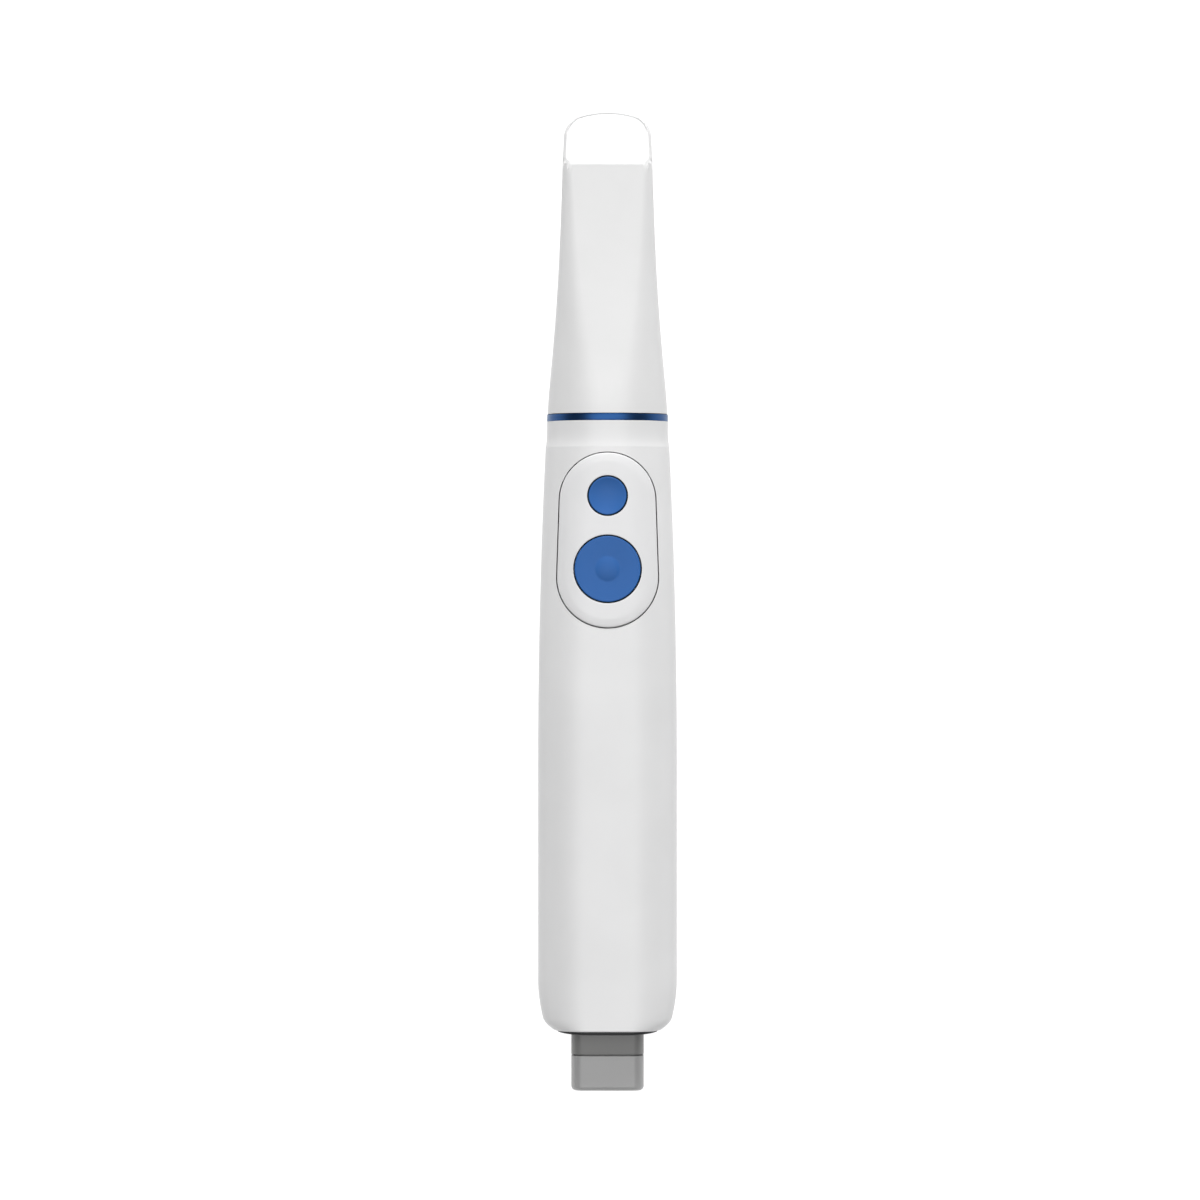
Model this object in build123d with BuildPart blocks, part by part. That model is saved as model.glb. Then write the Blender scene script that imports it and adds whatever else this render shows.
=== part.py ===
"""Intraoral scanner: a wand with a pull-off scan tip, a two-button grip and a tail connector.

The wand lies on its back with the buttons facing up. X runs across the grip, Y along it
towards the tip, and Z up from the surface that it rests on. The origin is on that surface,
at the middle of the wand's length and width. All sizes are in millimetres.
"""

import os
from math import sqrt

from build123d import *

# Lengths along the wand, from the tip to the tail
TIP_LENGTH = 76.07
TIP_JOINT_GAP = 0.15
RING_WIDTH = 1.72
NECK_LENGTH = 6.48
GRIP_LENGTH = 144.955
TAIL_PLATE_PROUD = 1.135
CONNECTOR_COLLAR_LENGTH = 5.22
CONNECTOR_SEAM = 0.3
CONNECTOR_SHELL_LENGTH = 8.74

# Grip housing
AXIS_HEIGHT = 16.7
NECK_STEP = 0.15
NECK_FLAT = 2.0
SHOULDER_STEP = 0.35
SHOULDER_FLAT = 2.5
GRIP_WIDTH = 34.6
GRIP_FLAT = 9.6
GRIP_RISE = 17.3
SWELL_LENGTH = 78.0
SWELL_STEPS = 7
BACK_SWELL_LENGTH = 26.0
REST_FLAT_CUT = 0.2
GRIP_WALL = 2.2
TAIL_TAPER = 2.1
TAIL_TAPER_LENGTH = 12.5
TAIL_TURN = 2.1
TAIL_STEPS = 4
TAIL_ROUND = 0.5
TAIL_WALL = 3.0
FIT = 0.1

# Scan tip
TIP_BASE_WIDTH = 29.9
TIP_BASE_FLAT = 2.1
TIP_HEAD_WIDTH = 21.7
TIP_HEAD_RISE = 11.2
TIP_HEAD_DROP = 6.5
TIP_HEAD_CORNER = 3.3
TIP_WALL = 1.8
TIP_END_ARC = 22.4
TIP_END_CORNER = 3.4
TIP_END_OVERLAP = 0.05
CHAMFER_RUN = 14.33
SCAN_WINDOW_WIDTH = 15.6
SCAN_WINDOW_LENGTH = 14.0
SCAN_WINDOW_CORNER = 2.0
SCAN_WINDOW_LIP = 3.6
MIRROR_THICKNESS = 1.2
MIRROR_WIDTH = 15.8
MIRROR_LENGTH = 12.6

# Nose that the tip slides over
NOSE_CLEARANCE = 0.35
NOSE_WALL = 1.2
NOSE_SETBACK = 20.5
NOSE_FLANGE = 2.0
NOSE_WINDOW_THICKNESS = 1.5
NOSE_WINDOW_LEDGE = 0.7
COLLAR_SPIGOT = 4.0
RING_THICKNESS = 1.1
SEAL_SETBACK = 4.0
SEAL_WIDTH = 1.6
SEAL_DEPTH = 0.7
SEAL_CLEARANCE = 0.15

# Button panel and buttons
PANEL_SETBACK = 1.56
PANEL_LENGTH = 43.34
PANEL_TOP_WIDTH = 23.8
PANEL_BOTTOM_WIDTH = 25.1
PANEL_PROUD = 0.5
PANEL_GAP = 0.25
PANEL_EDGE_ROUND = 0.4
PANEL_TAB = 1.2
PANEL_TAB_WIDTH = 14.0
PANEL_TAB_THICKNESS = 1.2
SMALL_BUTTON_RADIUS = 4.84
SMALL_BUTTON_SETBACK = 12.24
SMALL_BUTTON_DISH = 0.45
LARGE_BUTTON_RADIUS = 8.29
LARGE_BUTTON_SETBACK = 30.38
LARGE_BUTTON_DISH = 0.35
DOME_RADIUS = 3.1
DOME_HEIGHT = 0.45
BUTTON_GAP = 0.22
BUTTON_SINK = 0.2
BUTTON_WALL = 1.4
BUTTON_FLANGE = 0.8
BUTTON_FLANGE_THICKNESS = 0.9
BUTTON_STEM_RADIUS = 1.6
BUTTON_EDGE_ROUND = 0.25
BUTTON_TRAVEL = 0.6

# Button board and its switches
BUTTON_BOARD_LIFT = 7.0
BUTTON_BOARD_WIDTH = 13.0
BUTTON_BOARD_LENGTH = 34.0
BUTTON_BOARD_SETBACK = 6.5
BUTTON_BOARD_THICKNESS = 1.0
SWITCH_SIDE = 4.5
SWITCH_HEIGHT = 2.0
PLUNGER_RADIUS = 1.2
PLUNGER_PROUD = 0.8
PLUNGER_TAIL = 0.5
PLUNGER_CLEARANCE = 0.1

# Optics
OPTICAL_DROP = 1.0
OPTICS_BLOCK_WALL = 0.7
OPTICS_BLOCK_LENGTH = 26.0
OPTICS_FOOT_CLEARANCE = 0.2
OPTICS_FOOT_LENGTH = 8.0
OPTICS_FOOT_THICKNESS = 1.8
BARREL_REACH = 13.0
BARREL_WALL = 0.9
BARREL_SPACING = 0.3
PROJECTOR_SHARE = 0.4
LENS_THICKNESS = 2.4
LENS_CROWN = 0.6
SENSOR_BOARD_THICKNESS = 1.0
HEAT_SINK_BASE = 1.5
HEAT_SINK_FIN = 0.8
HEAT_SINK_FINS = 5
HEAT_SINK_LENGTH = 8.0

# Main board
MAIN_BOARD_DROP = 5.0
MAIN_BOARD_WIDTH = 22.0
MAIN_BOARD_SETBACK = 50.0
MAIN_BOARD_TAIL_GAP = 8.2
MAIN_BOARD_THICKNESS = 1.6
CHIP_HEIGHT = 1.2
PROCESSOR_SIDE = 12.0
MEMORY_WIDTH = 6.0
MEMORY_LENGTH = 9.0
CHIP_SPACING = 4.0

# Screws
SCREW_RADIUS = 0.95
SCREW_CLEARANCE = 0.1
SCREW_HEAD_RADIUS = 1.8
SCREW_HEAD_HEIGHT = 1.2
SCREW_LENGTH = 5.0
SCREW_SLOT = 0.5
BOSS_RADIUS = 2.2
SCREW_EDGE_DISTANCE = 4.0
BUTTON_SCREW_OFFSET = 4.4

# Tail plate and connector
TAIL_PLATE_MARGIN = 0.1
TAIL_PLATE_CORNER = 7.7
TAIL_PLATE_THICKNESS = 1.6
TAIL_PLATE_ROUND = 0.4
CONNECTOR_WIDTH = 18.1
CONNECTOR_DEPTH = 12.6
CONNECTOR_CORNER = 3.0
CONNECTOR_END_ROUND = 1.2
CONNECTOR_WALL = 1.5
CONNECTOR_FLANGE = 1.5
CONNECTOR_FLANGE_THICKNESS = 1.5
SHELL_SPIGOT_LENGTH = 4.0
SOCKET_WIDTH = 12.4
SOCKET_DEPTH = 6.6
SOCKET_CORNER = 1.4
SOCKET_REACH = 7.0
CONTACT_COUNT = 5
CONTACT_ROWS = 2
CONTACT_PITCH = 2.0
CONTACT_ROW_SPACING = 2.6
CONTACT_RADIUS = 0.45
CONTACT_PROUD = 0.8
CONNECTOR_BOARD_THICKNESS = 1.2

# Stations along Y, from the tip to the tail
WAND_LENGTH = (
    TIP_LENGTH
    + TIP_JOINT_GAP
    + RING_WIDTH
    + NECK_LENGTH
    + GRIP_LENGTH
    + TAIL_PLATE_PROUD
    + CONNECTOR_COLLAR_LENGTH
    + CONNECTOR_SEAM
    + CONNECTOR_SHELL_LENGTH
)
TIP_END = WAND_LENGTH / 2
TIP_BASE = TIP_END - TIP_LENGTH
RING_FRONT = TIP_BASE - TIP_JOINT_GAP
RING_BACK = RING_FRONT - RING_WIDTH
SHOULDER = RING_BACK - NECK_LENGTH
TAIL = SHOULDER - GRIP_LENGTH
PLATE_END = TAIL - TAIL_PLATE_PROUD
COLLAR_END = PLATE_END - CONNECTOR_COLLAR_LENGTH
SHELL_START = COLLAR_END - CONNECTOR_SEAM
SHELL_END = SHELL_START - CONNECTOR_SHELL_LENGTH

BLOCK_FRONT = SHOULDER - COLLAR_SPIGOT - NOSE_FLANGE
BLOCK_BACK = BLOCK_FRONT - OPTICS_BLOCK_LENGTH
NOSE_END = TIP_END - NOSE_SETBACK
SMALL_BUTTON_Y = SHOULDER - SMALL_BUTTON_SETBACK
LARGE_BUTTON_Y = SHOULDER - LARGE_BUTTON_SETBACK

# Widths that follow from the tip and the grip
NECK_WIDTH = TIP_BASE_WIDTH + 2 * NECK_STEP
SHOULDER_WIDTH = NECK_WIDTH + 2 * SHOULDER_STEP
TIP_BASE_CORNER = (TIP_BASE_WIDTH - TIP_BASE_FLAT) / 2
NECK_CORNER = (NECK_WIDTH - NECK_FLAT) / 2
SHOULDER_CORNER = (SHOULDER_WIDTH - SHOULDER_FLAT) / 2
GRIP_CORNER = (GRIP_WIDTH - GRIP_FLAT) / 2
TAIL_PLATE_INSET = TAIL_TAPER + TAIL_TURN + TAIL_ROUND + TAIL_PLATE_MARGIN
TAIL_PLATE_WIDTH = GRIP_WIDTH - 2 * TAIL_PLATE_INSET
TAIL_PLATE_DEPTH = GRIP_RISE + AXIS_HEIGHT + REST_FLAT_CUT - 2 * TAIL_PLATE_INSET

# Insets of the nose below the tip's outside, and the three barrels that share its bore
NOSE_INSET = TIP_WALL + NOSE_CLEARANCE
STEM_INSET = NOSE_INSET + NOSE_WALL
STEM_BORE_INSET = STEM_INSET + NOSE_WALL
STEM_BORE = TIP_BASE_WIDTH / 2 - STEM_BORE_INSET
BARREL_ROOM = STEM_BORE - FIT - BARREL_SPACING
PROJECTOR_RADIUS = BARREL_ROOM * PROJECTOR_SHARE
CAMERA_RADIUS = (BARREL_ROOM - PROJECTOR_RADIUS) / 2
CAMERA_OFFSET = PROJECTOR_RADIUS + BARREL_SPACING + CAMERA_RADIUS
OPTICS_BLOCK_WIDTH = 2 * (CAMERA_OFFSET + CAMERA_RADIUS + OPTICS_BLOCK_WALL)
SENSOR_BOARD_SIDE = 2 * (CAMERA_RADIUS - FIT)
PROJECTOR_BOARD_WIDTH = 2 * (PROJECTOR_RADIUS - 2 * FIT)
PROJECTOR_BOARD_HEIGHT = 2 * CAMERA_RADIUS
OPTICS_BLOCK_DEPTH = OPTICS_FOOT_THICKNESS + OPTICS_FOOT_CLEARANCE + PROJECTOR_BOARD_HEIGHT / 2

# Heights
OPTICAL_AXIS = AXIS_HEIGHT - OPTICAL_DROP
BLOCK_BOTTOM = OPTICAL_AXIS - OPTICS_BLOCK_DEPTH
BUTTON_BOARD_TOP = AXIS_HEIGHT + BUTTON_BOARD_LIFT
BUTTON_BOARD_BOTTOM = BUTTON_BOARD_TOP - BUTTON_BOARD_THICKNESS
SWITCH_TOP = BUTTON_BOARD_TOP + SWITCH_HEIGHT
STEM_BOTTOM = SWITCH_TOP + PLUNGER_PROUD
MAIN_BOARD_TOP = AXIS_HEIGHT - MAIN_BOARD_DROP
MAIN_BOARD_BOTTOM = MAIN_BOARD_TOP - MAIN_BOARD_THICKNESS
BOSS_BASE = 0.75 * (GRIP_WALL - REST_FLAT_CUT)
TAIL_CENTRE = AXIS_HEIGHT + (GRIP_RISE - AXIS_HEIGHT - REST_FLAT_CUT) / 2


def ease_out(share):
    """A share that rises fast at first and levels off at 1."""
    return 1 - (1 - min(max(share, 0), 1)) ** 2


def section(y, half, rise, drop, corner, inset=0.0):
    """Rounded rectangle across the wand at y, drawn in by inset on every side."""
    with BuildSketch(Plane.XZ.offset(-y)) as outline:
        with Locations((0, AXIS_HEIGHT + (rise - drop) / 2)):
            RectangleRounded(2 * (half - inset), rise + drop - 2 * inset, corner - inset)
    return outline.sketch


def grip_shape(setback):
    """Half width, rise, drop and corner radius of the grip at a distance behind the shoulder."""
    swell = ease_out(setback / SWELL_LENGTH)
    back_swell = ease_out(setback / BACK_SWELL_LENGTH)
    along_tail = max(0, setback - GRIP_LENGTH + TAIL_TAPER_LENGTH) / TAIL_TAPER_LENGTH
    along_wall = max(0, setback - GRIP_LENGTH + TAIL_WALL) / TAIL_WALL
    taper = TAIL_TAPER * along_tail**2 + TAIL_TURN * along_wall**2
    shoulder = SHOULDER_WIDTH / 2
    half = shoulder + (GRIP_WIDTH / 2 - shoulder) * swell - taper
    rise = shoulder + (GRIP_RISE - shoulder) * swell
    drop = shoulder + (AXIS_HEIGHT + REST_FLAT_CUT - shoulder) * back_swell
    corner = SHOULDER_CORNER + (GRIP_CORNER - SHOULDER_CORNER) * swell - taper
    return half, rise, drop, corner


def grip_sections(inset, start, end, count):
    """Evenly spaced grip outlines between two distances behind the shoulder, drawn in by inset."""
    setbacks = [start + (end - start) * step / (count - 1) for step in range(count)]
    return [section(SHOULDER - setback, *grip_shape(setback), inset) for setback in setbacks]


def swell_sections(inset):
    """Grip outlines along the swell behind the shoulder, drawn in by inset."""
    return grip_sections(inset, 0, SWELL_LENGTH, SWELL_STEPS)


def add_grip(inset, mode):
    """Add or cut the grip's form from the shoulder to the end wall, drawn in by inset."""
    tail_start = GRIP_LENGTH - TAIL_TAPER_LENGTH
    loft(swell_sections(inset), mode=mode)
    extrude(
        section(SHOULDER - SWELL_LENGTH, *grip_shape(SWELL_LENGTH), inset),
        amount=tail_start - SWELL_LENGTH,
        mode=mode,
    )
    loft(grip_sections(inset, tail_start, GRIP_LENGTH - TAIL_WALL, TAIL_STEPS), mode=mode)


def cap_rise(x, radius, height):
    """Rise of a spherical cap above its rim, at x off its axis."""
    sphere = (radius**2 + height**2) / (2 * height)
    return sqrt(sphere**2 - x**2) - (sphere - height)


def corner_drop(x, half, corner):
    """Fall of a rounded section's top below its flat middle, at x off the centre line."""
    across = max(0, abs(x) - (half - corner))
    return corner - sqrt(max(0, corner**2 - across**2))


def panel_height(setback, x, inset):
    """Height of the grip's front face above the rest, at x, drawn in by inset."""
    half, rise, _, corner = grip_shape(setback)
    return AXIS_HEIGHT + rise - inset - corner_drop(x, half - inset, corner - inset)


def tip_shape(y):
    """Half width, rise, drop and corner radius of the scan tip at y."""
    along = max(0, (y - TIP_BASE) / TIP_LENGTH) ** 1.4
    fall = 1.35 * along / (along + 0.35)
    base = TIP_BASE_WIDTH / 2
    half = base + (TIP_HEAD_WIDTH / 2 - base) * fall
    rise = base + (TIP_HEAD_RISE - base) * fall
    drop = base + (TIP_HEAD_DROP - base) * fall
    corner = TIP_BASE_CORNER + (TIP_HEAD_CORNER - TIP_BASE_CORNER) * fall
    return half, rise, drop, corner


def tip_sections(inset, start, end):
    """Scan tip outlines from start to end along Y, drawn in by inset."""
    shares = (0, 0.04, 0.1, 0.2, 0.35, 0.55, 0.78, 1)
    stations = [start + (end - start) * share for share in shares]
    return [section(y, *tip_shape(y), inset) for y in stations]


def head_plan(inset):
    """Plan outline of the scan tip with its arched end, drawn in by inset."""
    end = TIP_END - inset
    radius = TIP_END_ARC - inset
    flare = TIP_END - 2 * TIP_END_CORNER
    half = tip_shape(flare)[0] + TIP_END_OVERLAP - inset
    fall = radius - sqrt(radius**2 - half**2)
    wide = TIP_BASE_WIDTH / 2
    with BuildSketch(Plane.XY) as plan:
        with BuildLine():
            side = Polyline(
                (half, end - fall),
                (half, flare),
                (wide, flare),
                (wide, TIP_BASE),
                (-wide, TIP_BASE),
                (-wide, flare),
                (-half, flare),
                (-half, end - fall),
            )
            ThreePointArc(side @ 1, (0, end), side @ 0)
        make_face()
        corners = plan.vertices().filter_by_position(Axis.Y, end - fall - 0.1, end - fall + 0.1)
        fillet(corners, TIP_END_CORNER - inset)
    return plan.sketch


def chamfer_wedge(inset):
    """Side view of what the sloped mirror back cuts off the tip, drawn in by inset."""
    start = TIP_END - CHAMFER_RUN
    top = AXIS_HEIGHT + tip_shape(start)[1]
    back = start - inset * sqrt(2)
    reach = 2 * CHAMFER_RUN
    with BuildSketch(Plane.YZ) as wedge:
        with BuildLine():
            Polyline(
                (back - reach / 2, top + reach / 2),
                (back + reach, top - reach),
                (back + reach, top + reach / 2),
                close=True,
            )
        make_face()
    return wedge.sketch


def panel_outline(growth):
    """Oblong plan of the button panel, grown by growth all round."""
    top = SHOULDER - PANEL_SETBACK - PANEL_TOP_WIDTH / 2
    bottom = SHOULDER - PANEL_SETBACK - PANEL_LENGTH + PANEL_BOTTOM_WIDTH / 2
    with BuildSketch(Plane.XY.offset(AXIS_HEIGHT)) as outline:
        with Locations((0, top)):
            Circle(PANEL_TOP_WIDTH / 2 + growth)
        with Locations((0, bottom)):
            Circle(PANEL_BOTTOM_WIDTH / 2 + growth)
        make_hull()
    return outline.sketch


def connector_outline(y, inset):
    """Rounded outline of the tail connector at y, drawn in by inset."""
    with BuildSketch(Plane.XZ.offset(-y)) as outline:
        with Locations((0, TAIL_CENTRE)):
            RectangleRounded(
                CONNECTOR_WIDTH - 2 * inset,
                CONNECTOR_DEPTH - 2 * inset,
                CONNECTOR_CORNER - inset,
            )
    return outline.sketch


def socket_outline(y, inset):
    """Rounded outline of the cable socket at y, drawn in by inset."""
    with BuildSketch(Plane.XZ.offset(-y)) as outline:
        with Locations((0, TAIL_CENTRE)):
            RectangleRounded(
                SOCKET_WIDTH - 2 * inset, SOCKET_DEPTH - 2 * inset, SOCKET_CORNER - inset
            )
    return outline.sketch


def contact_circles(y, radius):
    """Rows of circles at y, one for each contact in the socket."""
    with BuildSketch(Plane.XZ.offset(-y)) as circles:
        with Locations((0, TAIL_CENTRE)):
            with GridLocations(CONTACT_PITCH, CONTACT_ROW_SPACING, CONTACT_COUNT, CONTACT_ROWS):
                Circle(radius)
    return circles.sketch


def plate_outline(y, inset):
    """Rounded outline of the tail plate at y, drawn in by inset."""
    with BuildSketch(Plane.XZ.offset(-y)) as outline:
        with Locations((0, TAIL_CENTRE)):
            RectangleRounded(
                TAIL_PLATE_WIDTH - 2 * inset,
                TAIL_PLATE_DEPTH - 2 * inset,
                TAIL_PLATE_CORNER - inset,
            )
    return outline.sketch


def button_profile(y, radius, rim, flange_top, dish, dome_radius, dome_height):
    """Half section of a push button at y, from its axis out to its flange."""
    inner = radius - BUTTON_WALL
    roof = rim - dish - BUTTON_WALL
    flange_bottom = flange_top - BUTTON_FLANGE_THICKNESS
    edge = radius - BUTTON_EDGE_ROUND
    with BuildSketch(Plane.XZ.offset(-y)) as profile:
        with BuildLine():
            if dome_radius:
                ring = rim - cap_rise(dome_radius, edge, dish)
                crown = ThreePointArc(
                    (0, ring + dome_height),
                    (dome_radius / 2, ring + cap_rise(dome_radius / 2, dome_radius, dome_height)),
                    (dome_radius, ring),
                )
                middle = (dome_radius + edge) / 2
                top = ThreePointArc(
                    crown @ 1, (middle, rim - cap_rise(middle, edge, dish)), (edge, rim)
                )
                start = crown @ 0
            else:
                middle = edge / 2
                top = ThreePointArc(
                    (0, rim - dish), (middle, rim - cap_rise(middle, edge, dish)), (edge, rim)
                )
                start = top @ 0
            outside = Polyline(
                top @ 1,
                (radius, rim - BUTTON_EDGE_ROUND),
                (radius, flange_top),
                (radius + BUTTON_FLANGE, flange_top),
                (radius + BUTTON_FLANGE, flange_bottom),
                (inner, flange_bottom),
                (inner, roof),
                (BUTTON_STEM_RADIUS, roof),
                (BUTTON_STEM_RADIUS, STEM_BOTTOM),
                (0, STEM_BOTTOM),
            )
            Line(outside @ 1, start)
        make_face()
    return profile.sketch


def add_screws(points, seat, length):
    """Add slotted screws at plan points, their heads seated at height seat."""
    with Locations(*[(x, y, seat) for x, y in points]):
        Cylinder(SCREW_HEAD_RADIUS, SCREW_HEAD_HEIGHT, align=(Align.CENTER, Align.CENTER, Align.MIN))
        Cylinder(SCREW_RADIUS, length, align=(Align.CENTER, Align.CENTER, Align.MAX))
    with Locations(*[(x, y, seat + SCREW_HEAD_HEIGHT) for x, y in points]):
        Box(3 * SCREW_HEAD_RADIUS, SCREW_SLOT, SCREW_HEAD_HEIGHT, mode=Mode.SUBTRACT)


def cut_screw_holes(points, top, depth):
    """Cut clearance holes for screws downwards from height top at plan points."""
    with Locations(*[(x, y, top) for x, y in points]):
        Cylinder(
            SCREW_RADIUS + SCREW_CLEARANCE,
            depth,
            align=(Align.CENTER, Align.CENTER, Align.MAX),
            mode=Mode.SUBTRACT,
        )


COLLAR_FRONT = TAIL + TAIL_WALL
MAIN_BOARD_FRONT = SHOULDER - MAIN_BOARD_SETBACK
MAIN_BOARD_BACK = COLLAR_FRONT + CONNECTOR_FLANGE_THICKNESS + MAIN_BOARD_TAIL_GAP
MAIN_BOARD_LENGTH = MAIN_BOARD_FRONT - MAIN_BOARD_BACK
MAIN_SCREW_X = MAIN_BOARD_WIDTH / 2 - SCREW_EDGE_DISTANCE
FOOT_SCREW_X = OPTICS_BLOCK_WIDTH / 2 - SCREW_EDGE_DISTANCE
MAIN_SCREW_POINTS = [
    (x, y)
    for x in (-MAIN_SCREW_X, MAIN_SCREW_X)
    for y in (MAIN_BOARD_FRONT - SCREW_EDGE_DISTANCE, MAIN_BOARD_BACK + SCREW_EDGE_DISTANCE)
]
FOOT_SCREW_POINTS = [
    (x, BLOCK_BACK - OPTICS_FOOT_LENGTH / 2) for x in (-FOOT_SCREW_X, FOOT_SCREW_X)
]
BUTTON_SCREW_POINTS = [
    (x, (SMALL_BUTTON_Y + LARGE_BUTTON_Y) / 2) for x in (-BUTTON_SCREW_OFFSET, BUTTON_SCREW_OFFSET)
]

# Scan tip: a hollow shell with a sloped mirror back and a window on its underside
with BuildPart() as tip_cavity:
    loft(tip_sections(TIP_WALL, TIP_BASE, TIP_END))
    extrude(head_plan(TIP_WALL), amount=4 * AXIS_HEIGHT, mode=Mode.INTERSECT)
    extrude(chamfer_wedge(TIP_WALL), amount=TIP_BASE_WIDTH, both=True, mode=Mode.SUBTRACT)

with BuildPart() as tip_shell:
    loft(tip_sections(0, TIP_BASE, TIP_END))
    extrude(head_plan(0), amount=4 * AXIS_HEIGHT, mode=Mode.INTERSECT)
    extrude(chamfer_wedge(0), amount=TIP_BASE_WIDTH, both=True, mode=Mode.SUBTRACT)
    add(tip_cavity.part, mode=Mode.SUBTRACT)
    with BuildSketch(Plane.XY) as scan_window:
        with Locations((0, TIP_END - SCAN_WINDOW_LIP - SCAN_WINDOW_LENGTH / 2)):
            RectangleRounded(SCAN_WINDOW_WIDTH, SCAN_WINDOW_LENGTH, SCAN_WINDOW_CORNER)
    extrude(amount=AXIS_HEIGHT - TIP_HEAD_DROP / 2, mode=Mode.SUBTRACT)
tip_shell.part.label = "tip_shell"

# Mirror plate on the inside of the sloped back
MIRROR_PLANE = Plane(
    origin=(
        0,
        TIP_END - CHAMFER_RUN / 2 - TIP_WALL / sqrt(2),
        AXIS_HEIGHT + tip_shape(TIP_END - CHAMFER_RUN)[1] - CHAMFER_RUN / 2 - TIP_WALL / sqrt(2),
    ),
    x_dir=(1, 0, 0),
    z_dir=(0, -1, -1),
)
with BuildPart() as tip_mirror:
    with BuildSketch(MIRROR_PLANE):
        Rectangle(MIRROR_WIDTH, MIRROR_LENGTH)
    extrude(amount=MIRROR_THICKNESS)
tip_mirror.part.label = "tip_mirror"

# Metal accent ring between the tip and the neck
NECK = (NECK_WIDTH / 2, NECK_WIDTH / 2, NECK_WIDTH / 2, NECK_CORNER)
with BuildPart() as accent_ring:
    extrude(section(RING_BACK, *NECK), amount=-RING_WIDTH)
    extrude(section(RING_BACK, *NECK, RING_THICKNESS), amount=-RING_WIDTH, mode=Mode.SUBTRACT)
accent_ring.part.label = "accent_ring"

# Neck collar: its front spigot carries the ring, its rear spigot sits in the grip housing
SHOULDER_SHAPE = grip_shape(0)
FLARE = [
    section(
        RING_BACK - NECK_LENGTH * share,
        *[neck + (wide - neck) * rise for neck, wide in zip(NECK, SHOULDER_SHAPE)],
    )
    for share, rise in ((0, 0), (0.38, 0), (0.6, 0.12), (0.8, 0.42), (1, 1))
]
with BuildPart() as nose_collar:
    loft(FLARE)
    extrude(section(RING_BACK, *NECK, RING_THICKNESS + FIT), amount=-RING_WIDTH)
    extrude(section(SHOULDER, *SHOULDER_SHAPE, GRIP_WALL + FIT), amount=COLLAR_SPIGOT)
    extrude(
        section(RING_FRONT, *tip_shape(TIP_BASE), STEM_INSET - FIT),
        amount=RING_WIDTH + NECK_LENGTH + COLLAR_SPIGOT,
        mode=Mode.SUBTRACT,
    )
nose_collar.part.label = "nose_collar"

# Nose: the black tube that the scan tip slides over, with a stem through the collar
SEAL_BACK = TIP_BASE + SEAL_SETBACK
SEAL_FRONT = SEAL_BACK + SEAL_WIDTH
GROOVE_ENDS = (SEAL_BACK - FIT, SEAL_FRONT + FIT)
with BuildPart() as seal_groove:
    loft([section(y, *tip_shape(y), NOSE_INSET - SEAL_DEPTH) for y in GROOVE_ENDS])
    loft(
        [section(y, *tip_shape(y), NOSE_INSET + SEAL_DEPTH) for y in GROOVE_ENDS],
        mode=Mode.SUBTRACT,
    )

with BuildPart() as nose_tube:
    loft(tip_sections(NOSE_INSET, TIP_BASE, NOSE_END))
    extrude(section(TIP_BASE, *tip_shape(TIP_BASE), NOSE_INSET), amount=TIP_JOINT_GAP)
    extrude(
        section(RING_FRONT, *tip_shape(TIP_BASE), STEM_INSET),
        amount=RING_WIDTH + NECK_LENGTH + COLLAR_SPIGOT,
    )
    extrude(
        section(BLOCK_FRONT, *SHOULDER_SHAPE, GRIP_WALL + 2 * FIT),
        amount=-NOSE_FLANGE,
    )
    loft(tip_sections(STEM_INSET, TIP_BASE, NOSE_END), mode=Mode.SUBTRACT)
    extrude(
        section(TIP_BASE, *tip_shape(TIP_BASE), STEM_BORE_INSET),
        amount=TIP_BASE - BLOCK_FRONT,
        mode=Mode.SUBTRACT,
    )
    extrude(
        section(NOSE_END, *tip_shape(NOSE_END), STEM_INSET - NOSE_WINDOW_LEDGE),
        amount=NOSE_WINDOW_THICKNESS,
        mode=Mode.SUBTRACT,
    )
    add(seal_groove.part, mode=Mode.SUBTRACT)
nose_tube.part.label = "nose_tube"

# Clear window that closes the front of the nose
with BuildPart() as nose_window:
    extrude(
        section(NOSE_END, *tip_shape(NOSE_END), STEM_INSET - NOSE_WINDOW_LEDGE + FIT),
        amount=NOSE_WINDOW_THICKNESS,
    )
nose_window.part.label = "nose_window"

# Rubber seal in the groove of the nose
with BuildPart() as nose_seal:
    loft(
        [section(y, *tip_shape(y), TIP_WALL + SEAL_CLEARANCE) for y in (SEAL_BACK, SEAL_FRONT)]
    )
    loft(
        [
            section(y, *tip_shape(y), NOSE_INSET + SEAL_DEPTH - FIT)
            for y in (SEAL_BACK, SEAL_FRONT)
        ],
        mode=Mode.SUBTRACT,
    )
nose_seal.part.label = "nose_seal"

# Grip housing, before it is parted into its two shells
with BuildPart() as grip_housing:
    add_grip(0, Mode.ADD)
    loft(grip_sections(0, GRIP_LENGTH - TAIL_WALL, GRIP_LENGTH, TAIL_STEPS))
    fillet(faces().sort_by(Axis.Y)[0].edges(), TAIL_ROUND)
    add_grip(GRIP_WALL, Mode.SUBTRACT)
    with Locations((0, 0, 0)):
        Box(
            2 * GRIP_WIDTH,
            2 * WAND_LENGTH,
            GRIP_WIDTH,
            align=(Align.CENTER, Align.CENTER, Align.MAX),
            mode=Mode.SUBTRACT,
        )
    extrude(
        plate_outline(PLATE_END, -FIT),
        amount=-TAIL_PLATE_THICKNESS - FIT,
        mode=Mode.SUBTRACT,
    )
    extrude(connector_outline(PLATE_END, -FIT), amount=-TAIL_WALL - TAIL_PLATE_PROUD, mode=Mode.SUBTRACT)

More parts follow.
